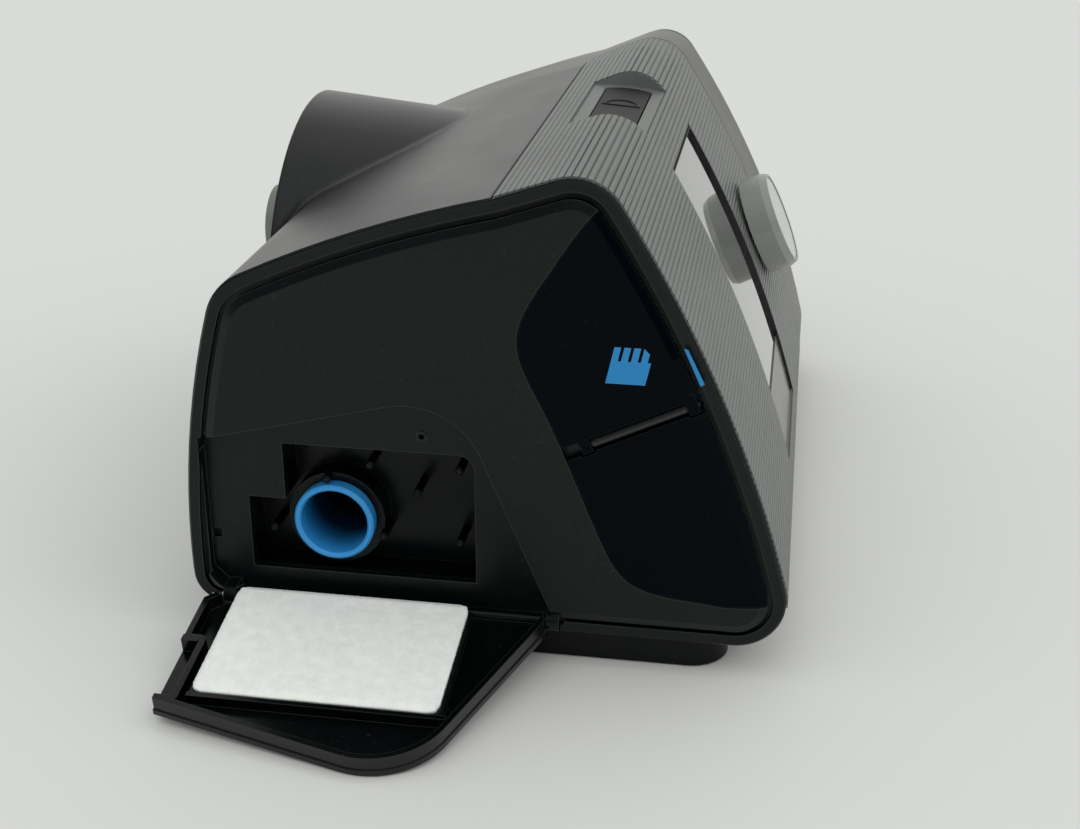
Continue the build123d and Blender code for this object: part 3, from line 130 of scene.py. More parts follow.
def remap(tree, value, low, high, to_low, to_high):
    """A value mapped from one range to another."""
    node = tree.nodes.new("ShaderNodeMapRange")
    for socket, number in zip(("From Min", "From Max", "To Min", "To Max"), (low, high, to_low, to_high)):
        node.inputs[socket].default_value = number
    tree.links.new(value, node.inputs["Value"])
    return node.outputs["Result"]


table_mesh = bpy.data.meshes.new("table")
table_corners = [(x * table_reach, y * table_reach, 0) for x, y in ((-1, -1), (1, -1), (1, 1), (-1, 1))]
table_mesh.from_pydata(table_corners, [], [(0, 1, 2, 3)])
table = add_piece("table", table_mesh)
table_material, _, shader = new_material("table_paper")
shader.inputs["Base Color"].default_value = (0.72, 0.710, 0.702, 1)
shader.inputs["Roughness"].default_value = 0.75
shader.inputs["Specular IOR Level"].default_value = 0.25
table_mesh.materials.append(table_material)

room_colour = (0.93, 0.97, 0.94, 1)
room_light = 0.86
wall_colour = (0.645, 0.66, 0.64, 1)
far_wall = (0.95, 0.15, 0.25)
world = bpy.data.worlds.new("studio")
scene.world = world
world.use_nodes = True
tree = world.node_tree
room = tree.nodes["Background"]
room.inputs["Color"].default_value = room_colour
room.inputs["Strength"].default_value = room_light
walls = tree.nodes.new("ShaderNodeBackground")
walls.inputs["Color"].default_value = wall_colour
rays = tree.nodes.new("ShaderNodeLightPath")
towards_wall = dot(tree, tree.nodes.new("ShaderNodeTexCoord").outputs["Generated"], far_wall)
mirrored = remap(tree, towards_wall, 0.40, 0.95, 0.18, 1.2)
tree.links.new(join(tree, "MAXIMUM", rays.outputs["Is Camera Ray"], mirrored), walls.inputs["Strength"])
mix = tree.nodes.new("ShaderNodeMixShader")
tree.links.new(rays.outputs["Is Diffuse Ray"], mix.inputs["Fac"])
tree.links.new(walls.outputs[0], mix.inputs[1])
tree.links.new(room.outputs[0], mix.inputs[2])
tree.links.new(mix.outputs[0], tree.nodes["World Output"].inputs["Surface"])


def soft_sun(name, direction, strength, spread):
    """A very soft distant light that shines along a direction."""
    lamp = bpy.data.lights.new(name, "SUN")
    lamp.energy = strength
    lamp.angle = math.radians(spread)
    holder = bpy.data.objects.new(name, lamp)
    holder.rotation_euler = Vector(direction).to_track_quat("-Z", "Y").to_euler()
    scene.collection.objects.link(holder)


soft_sun("ceiling_light", (0.25, 0.10, -1.0), 0.42, 80)
soft_sun("window_light", (0.10, 0.85, -0.65), 0.38, 50)

# ---------------------------------------------------------------- top cover
# One large injection moulding in very dark grey ABS with a fine spark-eroded texture, over the
# top, the rear and a band at the far end. Its hood shields the air outlet at the rear.


def noise(tree, vector, scale, detail=2.0, roughness=0.5):
    """A noise texture on a vector."""
    node = tree.nodes.new("ShaderNodeTexNoise")
    node.inputs["Detail"].default_value = detail
    node.inputs["Roughness"].default_value = roughness
    tree.links.new(vector, node.inputs["Vector"])
    if isinstance(scale, bpy.types.NodeSocket):
        tree.links.new(scale, node.inputs["Scale"])
    else:
        node.inputs["Scale"].default_value = scale
    return node.outputs["Fac"]


def blend(tree, kind, factor, first, second):
    """A colour mix of one kind."""
    node = tree.nodes.new("ShaderNodeMix")
    node.data_type = "RGBA"
    node.blend_type = kind
    for socket, source in (("Factor", factor), ("A", first), ("B", second)):
        if isinstance(source, bpy.types.NodeSocket):
            tree.links.new(source, node.inputs[socket])
        else:
            node.inputs[socket].default_value = source
    return node.outputs["Result"]


def in_millimetres(tree):
    """The place on the surface as a vector in millimetres."""
    scaled = tree.nodes.new("ShaderNodeVectorMath")
    scaled.operation = "SCALE"
    scaled.inputs["Scale"].default_value = 1000.0
    tree.links.new(tree.nodes.new("ShaderNodeTexCoord").outputs["Object"], scaled.inputs[0])
    return scaled.outputs["Vector"]


dust_colour = (0.62, 0.62, 0.60, 1)
# Radius in millimetres of the edges that get a painted highlight.
highlight_edge_radius = 0.35


def softened_normal(tree, radius, samples):
    """The surface's direction as if its edges were rounded by a radius in millimetres."""
    node = tree.nodes.new("ShaderNodeBevel")
    node.samples = samples
    node.inputs["Radius"].default_value = radius / 1000
    return node.outputs["Normal"]


def moulded_group():
    """Shader group: grain of a spark-eroded mould, soft patches, dust and a painted highlight on edges."""
    group = bpy.data.node_groups.new("moulded_surface", "ShaderNodeTree")
    for name in ("Grain Size", "Patch", "Dust", "Base Roughness", "Edge Highlight"):
        group.interface.new_socket(name, in_out="INPUT", socket_type="NodeSocketFloat")
    group.interface.new_socket("Colour", in_out="INPUT", socket_type="NodeSocketColor")
    group.interface.new_socket("Colour", in_out="OUTPUT", socket_type="NodeSocketColor")
    group.interface.new_socket("Roughness", in_out="OUTPUT", socket_type="NodeSocketFloat")
    group.interface.new_socket("Height", in_out="OUTPUT", socket_type="NodeSocketFloat")
    inside = group.nodes.new("NodeGroupInput")
    outside = group.nodes.new("NodeGroupOutput")
    place = in_millimetres(group)
    grain = noise(group, place, join(group, "DIVIDE", 1.0, inside.outputs["Grain Size"]), 2.0)
    patches = noise(group, place, 0.045, 3.0)
    specks = remap(group, noise(group, place, 1.1, 1.0), 0.70, 0.78, 0.0, 1.0)
    swing = join(group, "MULTIPLY", join(group, "SUBTRACT", patches, 0.5), inside.outputs["Patch"])
    toned = blend(group, "MULTIPLY", 1.0, inside.outputs["Colour"], join(group, "ADD", swing, 1.0))
    settled = join(group, "MULTIPLY", specks, inside.outputs["Dust"])
    dusted = blend(group, "MIX", settled, toned, dust_colour)
    flat = group.nodes.new("ShaderNodeNewGeometry").outputs["Normal"]
    # Painted highlight: colour lifted towards white where the surface turns over an edge.
    edge = remap(group, dot(group, softened_normal(group, highlight_edge_radius, 6), flat), 0.99, 0.80, 0.0, 1.0)
    painted_edge_highlight = join(group, "MULTIPLY", edge, inside.outputs["Edge Highlight"])
    edge_highlighted = blend(group, "ADD", painted_edge_highlight, dusted, (1, 1, 1, 1))
    scuffs = remap(group, grain, 0.35, 0.65, -0.03, 0.03)
    uneven = join(group, "MULTIPLY_ADD", swing, 1.2, inside.outputs["Base Roughness"])
    group.links.new(edge_highlighted, outside.inputs["Colour"])
    group.links.new(join(group, "ADD", uneven, scuffs), outside.inputs["Roughness"])
    group.links.new(grain, outside.inputs["Height"])
    return group


moulded_surface = moulded_group()


def add_relief(tree, shader, height, depth, rounding=0.0, strength=1.0):
    """Relief of one depth, on edges rounded by a radius, both in millimetres."""
    bump = tree.nodes.new("ShaderNodeBump")
    bump.inputs["Strength"].default_value = strength
    bump.inputs["Distance"].default_value = depth / 1000
    tree.links.new(height, bump.inputs["Height"])
    if rounding:
        tree.links.new(softened_normal(tree, rounding, 4), bump.inputs["Normal"])
    tree.links.new(bump.outputs["Normal"], shader.inputs["Normal"])


# edge sets the strength of the painted highlight along the edges.
def moulded(name, colour, roughness, grain=0.35, depth=0.01, patch=0.10, dust_and_painted_shade=0.02, rounding=0.15,
            edge=0.015, **sockets):
    """Moulded plastic or rubber; grain, its depth and the edges' rounding are in millimetres."""
    material, tree, shader = new_material(name)
    surface = tree.nodes.new("ShaderNodeGroup")
    surface.node_tree = moulded_surface
    surface.inputs["Grain Size"].default_value = grain
    surface.inputs["Patch"].default_value = patch
    surface.inputs["Dust"].default_value = dust_and_painted_shade
    surface.inputs["Base Roughness"].default_value = roughness
    surface.inputs["Edge Highlight"].default_value = edge
    surface.inputs["Colour"].default_value = (*colour, 1)
    tree.links.new(surface.outputs["Colour"], shader.inputs["Base Color"])
    tree.links.new(surface.outputs["Roughness"], shader.inputs["Roughness"])
    for socket, value in sockets.items():
        shader.inputs[socket.replace("_", " ")].default_value = value
    add_relief(tree, shader, surface.outputs["Height"], depth, rounding)
    return material


def finish_node(name, material):
    """Give a CAD node its finish."""
    data = nodes[name].data
    data.materials.clear()
    data.materials.append(material)


case_grey = moulded("case_grey", (0.0050, 0.0066, 0.0070), 0.31, grain=0.30, depth=0.005, edge=0.0,
                    rounding=1.0, IOR=1.62)
finish_node("top_cover", case_grey)

# ---------------------------------------------------------------- ribbed fascia
# Silver-grey front moulding that wraps from the top over the crown to the foot. Fine ribs run
# along it; the window, the keys and the dial are let into it.
fascia_grey = moulded("fascia_grey", (0.135, 0.141, 0.136), 0.38, grain=0.25, depth=0.006, edge=0.0)
finish_node("fascia", fascia_grey)

rib_pitch = 1.565
rib_first = 0.95
rib_crest = 1.08
rib_foot = 1.36
rib_height = 0.60
rib_proud = 0.12
rib_start = 0.35
rib_margin = 1.1
body_drop = 0.35
fascia_end = 163.0
fascia_corner = 20.0
fascia_rear = -72.4
fascia_low = 17.6
fascia_bend = 140.0
section_x = 30.0
section_start = (-72.5, 111.1)
section_end = (-141.6, fascia_low)
window_x = (62.6, 110.4)
window_z = (26.6, 102.1)
scoop_near = 57.2
scoop_side = 105.3
scoop_arch = 3.5
scoop_y = (-98.9, -80.0)
stem_place = (133.5, 67.0)
stem_radius = 4.2
hub = (-80.0, 55.0)
spoke_length = 0.2
fascia_surface = BVHTree.FromPolygons([corner.co for corner in nodes["fascia"].data.vertices],
                                      [face.vertices for face in nodes["fascia"].data.polygons])


def on_fascia(x, angle):
    """Where a spoke from the housing's middle leaves the fascia, and the outward direction."""
    spoke = Vector((0, math.cos(angle), math.sin(angle)))
    start = at(x, *hub) + spoke * spoke_length
    place, normal, _, _ = fascia_surface.ray_cast(start, -spoke, spoke_length)
    return place, normal


def rib_spans(y, z):
    """Stretches of x that a rib covers at one height of the fascia's section."""
    past_corner = min(max(0.0, y - (fascia_rear - fascia_corner)), fascia_corner)
    end = fascia_end - rib_margin - fascia_corner + math.sqrt(fascia_corner ** 2 - past_corner ** 2)
    cuts = []
    if window_z[0] < z < window_z[1] and y < scoop_y[0]:
        cuts.append(window_x)
    if scoop_y[0] < y < scoop_y[1] and z > window_z[1]:
        middle = (scoop_y[0] + scoop_y[1]) / 2
        bulge = 1 - ((y - middle) / (scoop_y[1] - middle)) ** 2
        cuts.append((scoop_near, scoop_side + scoop_arch * bulge))
    if abs(z - stem_place[1]) < stem_radius and y < scoop_y[0]:
        cuts.append((stem_place[0] - stem_radius, stem_place[0] + stem_radius))
    spans = []
    start = rib_start
    for low, high in cuts + [(end, end)]:
        spans.append((start, low))
        start = high
    return spans


def rib_paths():
    """Centre lines of the ribs, evenly spaced along the section, with their outward directions."""
    first, last = (math.atan2(z - hub[1], y - hub[0]) for y, z in (section_start, section_end))
    last += 2 * math.pi
    run = 0.0
    due = rib_first
    before = None
    paths = []
    steps = 6000
    for i in range(steps):
        angle = first + (last - first) * i / steps
        place, normal = on_fascia(section_x, angle)
        if place is None:
            continue
        if before is not None:
            run += (place - before).length * 1000
        before = place
        if run < due:
            continue
        due += rib_pitch
        y, z = (place.y - corner_y) * 1000, place.z * 1000
        if z < fascia_low:
            break
        centre = place + normal * (rib_proud + body_drop - rib_height / 2) / 1000
        for low, high in rib_spans(y, z):
            ends = [Vector((at(x, 0, 0).x, centre.y, centre.z)) for x in (low, min(high, fascia_bend))]
            if high > fascia_bend:
                far, _ = on_fascia(high, angle)
                ends.append(far + normal * (rib_proud - rib_height / 2) / 1000)
            paths.append((ends, normal))
    return paths


def path_object(name, paths):
    """A mesh of open edge chains, each with its outward direction, for a node tree to follow."""
    corners = [corner for line, _ in paths for corner in line]
    edges = []
    first = 0
    for line, _ in paths:
        edges += [(first + i, first + i + 1) for i in range(len(line) - 1)]
        first += len(line)
    mesh = bpy.data.meshes.new(name)
    mesh.from_pydata(corners, edges, [])
    outward = mesh.attributes.new("outward", "FLOAT_VECTOR", "POINT")
    directions = [normal for line, normal in paths for _ in line]
    for item, normal in zip(outward.data, directions):
        item.vector = normal
    return add_piece(name, mesh)


def rib_tree():
    """Geometry Nodes: a moulded rib of trapezoid section, crest outwards, along every path."""
    tree = bpy.data.node_groups.new("moulded_ribs", "GeometryNodeTree")
    tree.interface.new_socket("Geometry", in_out="INPUT", socket_type="NodeSocketGeometry")
    for name in ("Foot Width", "Crest Width", "Height"):
        tree.interface.new_socket(name, in_out="INPUT", socket_type="NodeSocketFloat")
    tree.interface.new_socket("Finish", in_out="INPUT", socket_type="NodeSocketMaterial")
    tree.interface.new_socket("Geometry", in_out="OUTPUT", socket_type="NodeSocketGeometry")
    inside = tree.nodes.new("NodeGroupInput")
    outside = tree.nodes.new("NodeGroupOutput")
    path = tree.nodes.new("GeometryNodeMeshToCurve")
    facing = tree.nodes.new("GeometryNodeSetCurveNormal")
    facing.mode = "FREE"
    outward = tree.nodes.new("GeometryNodeInputNamedAttribute")
    outward.data_type = "FLOAT_VECTOR"
    outward.inputs["Name"].default_value = "outward"
    section = tree.nodes.new("GeometryNodeCurvePrimitiveQuadrilateral")
    section.mode = "TRAPEZOID"
    section.inputs["Offset"].default_value = 0.0
    turned = tree.nodes.new("GeometryNodeTransform")
    turned.inputs["Rotation"].default_value = (0, 0, math.pi / 2)
    sweep = tree.nodes.new("GeometryNodeCurveToMesh")
    sweep.inputs["Fill Caps"].default_value = True
    real = tree.nodes.new("GeometryNodeRealizeInstances")
    paint = tree.nodes.new("GeometryNodeSetMaterial")
    tree.links.new(inside.outputs["Geometry"], path.inputs["Mesh"])
    tree.links.new(path.outputs["Curve"], facing.inputs["Curve"])
    tree.links.new(outward.outputs["Attribute"], facing.inputs["Normal"])
    tree.links.new(inside.outputs["Foot Width"], section.inputs["Bottom Width"])
    tree.links.new(inside.outputs["Crest Width"], section.inputs["Top Width"])
    tree.links.new(inside.outputs["Height"], section.inputs["Height"])
    tree.links.new(section.outputs["Curve"], turned.inputs["Geometry"])
    tree.links.new(facing.outputs["Curve"], sweep.inputs["Curve"])
    tree.links.new(turned.outputs["Geometry"], sweep.inputs["Profile Curve"])
    tree.links.new(sweep.outputs["Mesh"], real.inputs["Geometry"])
    tree.links.new(real.outputs["Geometry"], paint.inputs["Geometry"])
    tree.links.new(inside.outputs["Finish"], paint.inputs["Material"])
    tree.links.new(paint.outputs["Geometry"], outside.inputs["Geometry"])
    return tree


def baked(piece, tree, values):
    """The piece with a node tree's result as its plain mesh."""
    modifier = piece.modifiers.new("shape", "NODES")
    modifier.node_group = tree
    for item in tree.interface.items_tree:
        if item.item_type == "SOCKET" and item.in_out == "INPUT" and item.name in values:
            modifier[item.identifier] = values[item.name]
    bpy.context.view_layer.update()
    graph = bpy.context.evaluated_depsgraph_get()
    result = bpy.data.meshes.new_from_object(piece.evaluated_get(graph), depsgraph=graph)
    piece.modifiers.clear()
    piece.data = result
    return piece


fascia_ribs = baked(path_object("fascia_ribs", rib_paths()), rib_tree(),
                    {"Foot Width": rib_foot / 1000, "Crest Width": rib_crest / 1000,
                     "Height": rib_height / 1000, "Finish": fascia_grey})
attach(fascia_ribs, "case")

# ---------------------------------------------------------------- start key
# Flat key in the fascia's scoop, smooth and in a darker and slightly warmer grey, with the
# outline of a half-moon raised on it; its stem works the switch on the board below.
key_grey = moulded("key_grey", (0.011, 0.011, 0.0095), 0.5, grain=0.25, depth=0.006,
                   Specular_IOR_Level=0.33)
finish_node("start_button", key_grey)

# ---------------------------------------------------------------- window, home key and display
# Polished tinted lens over the display, mirror-bright at a low angle, with a thin black strip on its
# far side and upper edge that is painted shade for the walls of the opening; the home key below it is a
# grey gloss moulding. Display cell and key board lie behind them.
lens_black = moulded("lens_black", (0.010, 0.011, 0.012), 0.03, grain=30.0, depth=0.01, patch=0.2, dust_and_painted_shade=0.01,
                     rounding=0.0, IOR=2.2, Coat_Weight=1.0, Coat_Roughness=0.02, Coat_IOR=2.0)
finish_node("screen_lens", lens_black)
# Black strip in the gap at the window's far side and top: painted shade for the walls of the opening.
shade_strip_black = moulded("shade_strip_black", (0.004, 0.005, 0.005), 0.3, grain=0.4, depth=0.002)
shade_strip_thick = 0.26
shade_strip_proud = 0.10
shade_strip_depth = 0.95
shade_strip_gap = 0.02


def bridge(shape, rings):
    """Closed strip of faces through rings of corners, with both ends capped."""
    rings = [[shape.verts.new(corner) for corner in ring] for ring in rings]
    for first, second in zip(rings[:-1], rings[1:]):
        for i in range(len(first)):
            k = (i + 1) % len(first)
            shape.faces.new([first[i], first[k], second[k], second[i]])
    shape.faces.new(rings[0][::-1])
    shape.faces.new(rings[-1])


def closed_piece(name, shape, material):
    """A finished piece from closed shapes, with its faces pointing outwards."""
    bmesh.ops.recalc_face_normals(shape, faces=shape.faces)
    mesh = bpy.data.meshes.new(name)
    shape.to_mesh(mesh)
    shape.free()
    mesh.materials.append(material)
    return add_piece(name, mesh)


def window_shade_strip():
    """Thin black strip of painted shade bent round the window's corner: a strip down the far side, a strip
    on top.
    """
    near_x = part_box("screen_lens")[0].x
    far_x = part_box("screen_lens")[1].x + shade_strip_gap / 1000
    far_face = far_x + shade_strip_thick / 1000
    low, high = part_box("home_button")[0].z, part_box("screen_lens")[1].z
    rings = []
    steps = 40
    reach = 0.3
    for i in range(steps + 1):
        start = Vector((at(section_x, 0, 0).x, corner_y - reach, low + (high - low) * i / steps))
        place, normal, _, _ = fascia_surface.ray_cast(start, Vector((0, 1, 0)), reach)
        outer = place + normal * (body_drop + shade_strip_proud) / 1000
        inner = place + normal * (body_drop - shade_strip_depth) / 1000
        rings.append([Vector((x, point.y, point.z)) for x, point in
                      ((far_x, outer), (far_x, inner), (far_face, inner), (far_face, outer))])
    lift = Vector((0, 0, shade_strip_thick / 1000))
    top = [[Vector((x, point.y, point.z)) for point in (outer, inner)] for x in (near_x, far_x)]
    shape = bmesh.new()
    bridge(shape, rings)
    bridge(shape, [[front, back, back + lift, front + lift] for front, back in top])
    return closed_piece("window_shade_strip", shape, shade_strip_black)


shade_strip = window_shade_strip()
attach(shade_strip, "case")
home_gloss = moulded("home_gloss", (0.10, 0.10, 0.095), 0.22, grain=0.3, depth=0.002, IOR=1.7)
finish_node("home_button", home_gloss)
display_grey = moulded("display_grey", (0.03, 0.03, 0.034), 0.5, grain=0.5, depth=0.004)
finish_node("display_module", display_grey)


def circuit_board():
    """Solder mask over copper tracks on glass-fibre board."""
    material, tree, shader = new_material("board_green")
    place = in_millimetres(tree)
    tracks = tree.nodes.new("ShaderNodeTexBrick")
    tracks.inputs["Scale"].default_value = 0.35
    tracks.inputs["Mortar Size"].default_value = 0.06
    tracks.inputs["Color1"].default_value = (0.006, 0.055, 0.024, 1)
    tracks.inputs["Color2"].default_value = (0.008, 0.070, 0.030, 1)
    tracks.inputs["Mortar"].default_value = (0.018, 0.125, 0.055, 1)
    tree.links.new(place, tracks.inputs["Vector"])
    weave = noise(tree, place, 1.8, 3.0)
    toned = blend(tree, "MULTIPLY", 0.5, tracks.outputs["Color"], remap(tree, weave, 0.3, 0.7, 0.8, 1.2))
    tree.links.new(toned, shader.inputs["Base Color"])
    tree.links.new(remap(tree, weave, 0.3, 0.7, 0.28, 0.42), shader.inputs["Roughness"])
    add_relief(tree, shader, tracks.outputs["Fac"], 0.03)
    return material


board_green = circuit_board()
finish_node("key_board", board_green)

# ---------------------------------------------------------------- dial
# Turn-and-press dial: satin grey knob with a bright disc let into its end, on a steel shaft
# that runs in the encoder behind the fascia.
dial_grey = moulded("dial_grey", (0.28, 0.283, 0.270), 0.27, grain=0.3, depth=0.0008, IOR=1.6)
finish_node("dial", dial_grey)


def metal(name, colour, roughness, streak=(1.0, 1.0, 1.0), depth=0.004, rounding=0.1):
    """Bare metal with fine drawn or turned streaks; streak stretches them along an axis."""
    material, tree, shader = new_material(name)
    stretched = tree.nodes.new("ShaderNodeMapping")
    stretched.inputs["Scale"].default_value = streak
    tree.links.new(in_millimetres(tree), stretched.inputs["Vector"])
    lines = noise(tree, stretched.outputs["Vector"], 4.0, 3.0, 0.6)
    tarnish = noise(tree, in_millimetres(tree), 0.12, 3.0)
    toned = blend(tree, "MULTIPLY", 1.0, (*colour, 1), remap(tree, tarnish, 0.3, 0.7, 0.93, 1.03))
    tree.links.new(toned, shader.inputs["Base Color"])
    gloss = remap(tree, lines, 0.3, 0.7, roughness - 0.03, roughness + 0.04)
    tree.links.new(gloss, shader.inputs["Roughness"])
    shader.inputs["Metallic"].default_value = 1.0
    add_relief(tree, shader, lines, depth, rounding)
    return material


dial_silver = metal("dial_silver", (0.74, 0.745, 0.735), 0.24, streak=(0.6, 0.6, 0.6), depth=0.0005)
finish_node("dial_face", dial_silver)
screw_steel = metal("screw_steel", (0.55, 0.55, 0.54), 0.34, streak=(1.0, 1.0, 0.2))
finish_node("dial_shaft", screw_steel)
finish_node("dial_encoder", screw_steel)

# ---------------------------------------------------------------- lower case, feet and screws
# Black tray with a plinth. Four rubber feet are let into it, and the heads of its steel screws
# lie in pockets, reached from below.
case_black = moulded("case_black", (0.0012, 0.0020, 0.0026), 0.38, edge=0.006, Specular_IOR_Level=0.2)
finish_node("lower_case", case_black)
foot_rubber = moulded("foot_rubber", (0.018, 0.018, 0.018), 0.75, grain=0.5, depth=0.02, dust_and_painted_shade=0.08)
finish_node("rubber_feet", foot_rubber)
finish_node("case_screws", screw_steel)

# ---------------------------------------------------------------- end panel, filter pocket and air tube
# Near-black ABS with a very fine matt texture; the pocket behind it is moulded in one with
# its filter pins. A blue silicone tube carries the air on, its blue painted darker as shade further in.
panel_black = moulded("panel_black", (0.0022, 0.0044, 0.0050), 0.36, grain=0.22, depth=0.005,
                      edge=0.05, Specular_IOR_Level=0.27)
pocket_black = moulded("pocket_black", (0.0012, 0.0024, 0.0036), 0.30, grain=0.4, depth=0.006, dust_and_painted_shade=0.0,
                       Specular_IOR_Level=0.2)
finish_node("side_panel", panel_black)
finish_node("filter_pocket", pocket_black)
blue_silicone = moulded("blue_silicone", (0.030, 0.300, 0.70), 0.32, grain=0.8, depth=0.004, dust_and_painted_shade=0.0,
                        Subsurface_Weight=0.15, Subsurface_Scale=0.002)
# Lengths in millimetres from the tube's rim: full blue up to the first, painted shade deepest at the second.
unshaded_length = 1.5
dark_length = 13.0


def darkened_tube():
    """The blue silicone, full blue at the tube's rim and painted darker further in as shade."""
    material = blue_silicone.copy()
    material.name = "tube_blue"
    tree = material.node_tree
    colour = tree.nodes["Principled BSDF"].inputs["Base Color"]
    unshaded_blue = colour.links[0].from_socket
    along = tree.nodes.new("ShaderNodeSeparateXYZ")
    tree.links.new(in_millimetres(tree), along.inputs[0])
    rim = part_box("inlet_tube")[0].x * 1000
    # Painted shade: the blue is multiplied down to a tenth between these lengths into the tube.
    dust_and_painted_shade = remap(tree, along.outputs["X"], rim + unshaded_length, rim + dark_length, 1.0, 0.10)
    tree.links.new(blend(tree, "MULTIPLY", 1.0, unshaded_blue, dust_and_painted_shade), colour)
    return material


finish_node("inlet_tube", darkened_tube())

# ---------------------------------------------------------------- filter door
# Tray-shaped door in polished black, hinged along its lower edge; its rim steps in at the
# rear so that a finger can pull it open. It lies open on the table.
door_black = moulded("door_black", (0.0012, 0.0026, 0.0030), 0.20, grain=0.5, depth=0.003, edge=0.03,
                     Specular_IOR_Level=0.4)
finish_node("filter_door", door_black)

# ---------------------------------------------------------------- air filter
# Replaceable pad of white non-woven polyester fleece, heat-pressed at its cut edges, with a
# cloudy face and a slightly ragged outline. It is shaped as it stands with the door shut and
# then laid open with the door; its own measures are in metres.
hinge = next(joint for joint in frame["joints"] if joint["name"] == "filter_door_hinge")
pivot = Vector(hinge["pos_m"])
swing = Matrix.Rotation(math.radians(hinge["range_deg"][1]), 4, "Y")
shut = Matrix.Translation(pivot) @ swing @ Matrix.Translation(-pivot)
laid_open = shut.inverted()
pad_points = [shut @ corner.co for corner in nodes["filter_pad"].data.vertices]
pad_low = Vector([min(point[i] for point in pad_points) for i in range(3)])
pad_high = Vector([max(point[i] for point in pad_points) for i in range(3)])
pad_corner = 0.0028
pad_cloud = 0.00012
pad_back_cloud = 0.00002
pressed_rim = 0.0011
calm_rim = 0.0003
ragged_rim = 0.0004
ragged_share = 0.006
cloud_sizes = (260, 900)
fibre_size = 1500
fleece_white = (0.90, 0.905, 0.885, 1)


def rounded_corner(offset, half):
    """An offset from the pad's middle, drawn in where the pad's corner is round."""
    inner = [extent - pad_corner for extent in half]
    over = [abs(value) - limit for value, limit in zip(offset, inner)]
    if min(over) <= 0:
        return offset
    a, b = (value / pad_corner for value in over)
    bent = (a * math.sqrt(1 - b * b / 2), b * math.sqrt(1 - a * a / 2))
    return [math.copysign(limit + pad_corner * share, value)
            for limit, share, value in zip(inner, bent, offset)]


def fleece_point(v, w, edge, front):
    """A point of the shut pad, v and w from its middle, edge from its nearest side."""
    middle = (pad_low + pad_high) / 2
    thick = pad_high.x - pad_low.x
    pressed = math.sqrt(max(0.0, 1 - min(1.0, edge / pressed_rim)))
    coarse, fine = (field.noise(Vector((v, w, layer)) * size) for layer, size in zip((0, 3), cloud_sizes))
    cloud = coarse + 0.6 * fine
    if front:
        x = thick * (0.5 - 0.42 * pressed) + (pad_cloud * (cloud - 0.9) if edge > calm_rim else 0)
    else:
        x = thick * (0.05 * pressed - 0.5) + pad_back_cloud * cloud
    ragged = 1.0
    if edge < ragged_rim:
        ragged -= ragged_share * (1 + field.noise(Vector((v, w, 7)) * fibre_size))
    return Vector((middle.x + x, middle.y + v * ragged, middle.z + w * ragged))


def fleece_pad(material):
    """Closed fleece slab: cloudy top, pressed rim and a slightly ragged outline."""
    half = ((pad_high.y - pad_low.y) / 2, (pad_high.z - pad_low.z) / 2)
    rows = 112
    columns = 72
    shape = bmesh.new()
    sides = []
    for front in (False, True):
        grid = []
        for i in range(rows + 1):
            line = []
            for k in range(columns + 1):
                offset = ((2 * i / rows - 1) * half[0], (2 * k / columns - 1) * half[1])
                v, w = rounded_corner(offset, half)
                edge = min(half[0] - abs(v), half[1] - abs(w))
                line.append(shape.verts.new(laid_open @ fleece_point(v, w, edge, front)))
            grid.append(line)
        sides.append(grid)
        for i in range(rows):
            for k in range(columns):
                shape.faces.new([grid[i][k], grid[i + 1][k], grid[i + 1][k + 1], grid[i][k + 1]])
    rim = [(0, k) for k in range(columns)] + [(i, columns) for i in range(rows)]
    rim += [(rows, k) for k in range(columns, 0, -1)] + [(i, 0) for i in range(rows, 0, -1)]
    back, face = sides
    for (i, k), (m, n) in zip(rim, rim[1:] + rim[:1]):
        shape.faces.new([back[i][k], face[i][k], face[m][n], back[m][n]])
    piece = closed_piece("filter_fleece", shape, material)
    piece.data.shade_smooth()
    return piece


def fleece_finish():
    """White fleece of cloudy density and crossing fibres."""
    material, tree, shader = new_material("filter_fleece")
    place = in_millimetres(tree)
    clouds = noise(tree, place, 0.35, 4.0, 0.6)
    fibres = []
    for turn, size in ((0.5, 2.2), (-0.8, 2.6), (1.4, 3.0)):
        laid = tree.nodes.new("ShaderNodeMapping")
        laid.inputs["Rotation"].default_value = (0, 0.17, turn)
        laid.inputs["Scale"].default_value = (0.22, 1.6, 1.0)
        tree.links.new(place, laid.inputs["Vector"])
        fibres.append(noise(tree, laid.outputs["Vector"], size, 3.0, 0.65))
    crossed = join(tree, "MAXIMUM", join(tree, "MAXIMUM", fibres[0], fibres[1]), fibres[2])
    thin = remap(tree, clouds, 0.3, 0.7, 0.93, 1.03)
    shade = join(tree, "MULTIPLY", thin, remap(tree, crossed, 0.45, 0.75, 0.95, 1.03))
    tree.links.new(blend(tree, "MULTIPLY", 1.0, fleece_white, shade), shader.inputs["Base Color"])
    shader.inputs["Roughness"].default_value = 0.9
    shader.inputs["Specular IOR Level"].default_value = 0.2
    shader.inputs["Sheen Weight"].default_value = 0.25
    shader.inputs["Sheen Roughness"].default_value = 0.5
    shader.inputs["Subsurface Weight"].default_value = 0.2
    shader.inputs["Subsurface Scale"].default_value = 0.001
    add_relief(tree, shader, crossed, 0.12, strength=0.8)
    return material


filter_fleece = fleece_pad(fleece_finish())
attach(filter_fleece, "filter_door")
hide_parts("filter_pad")

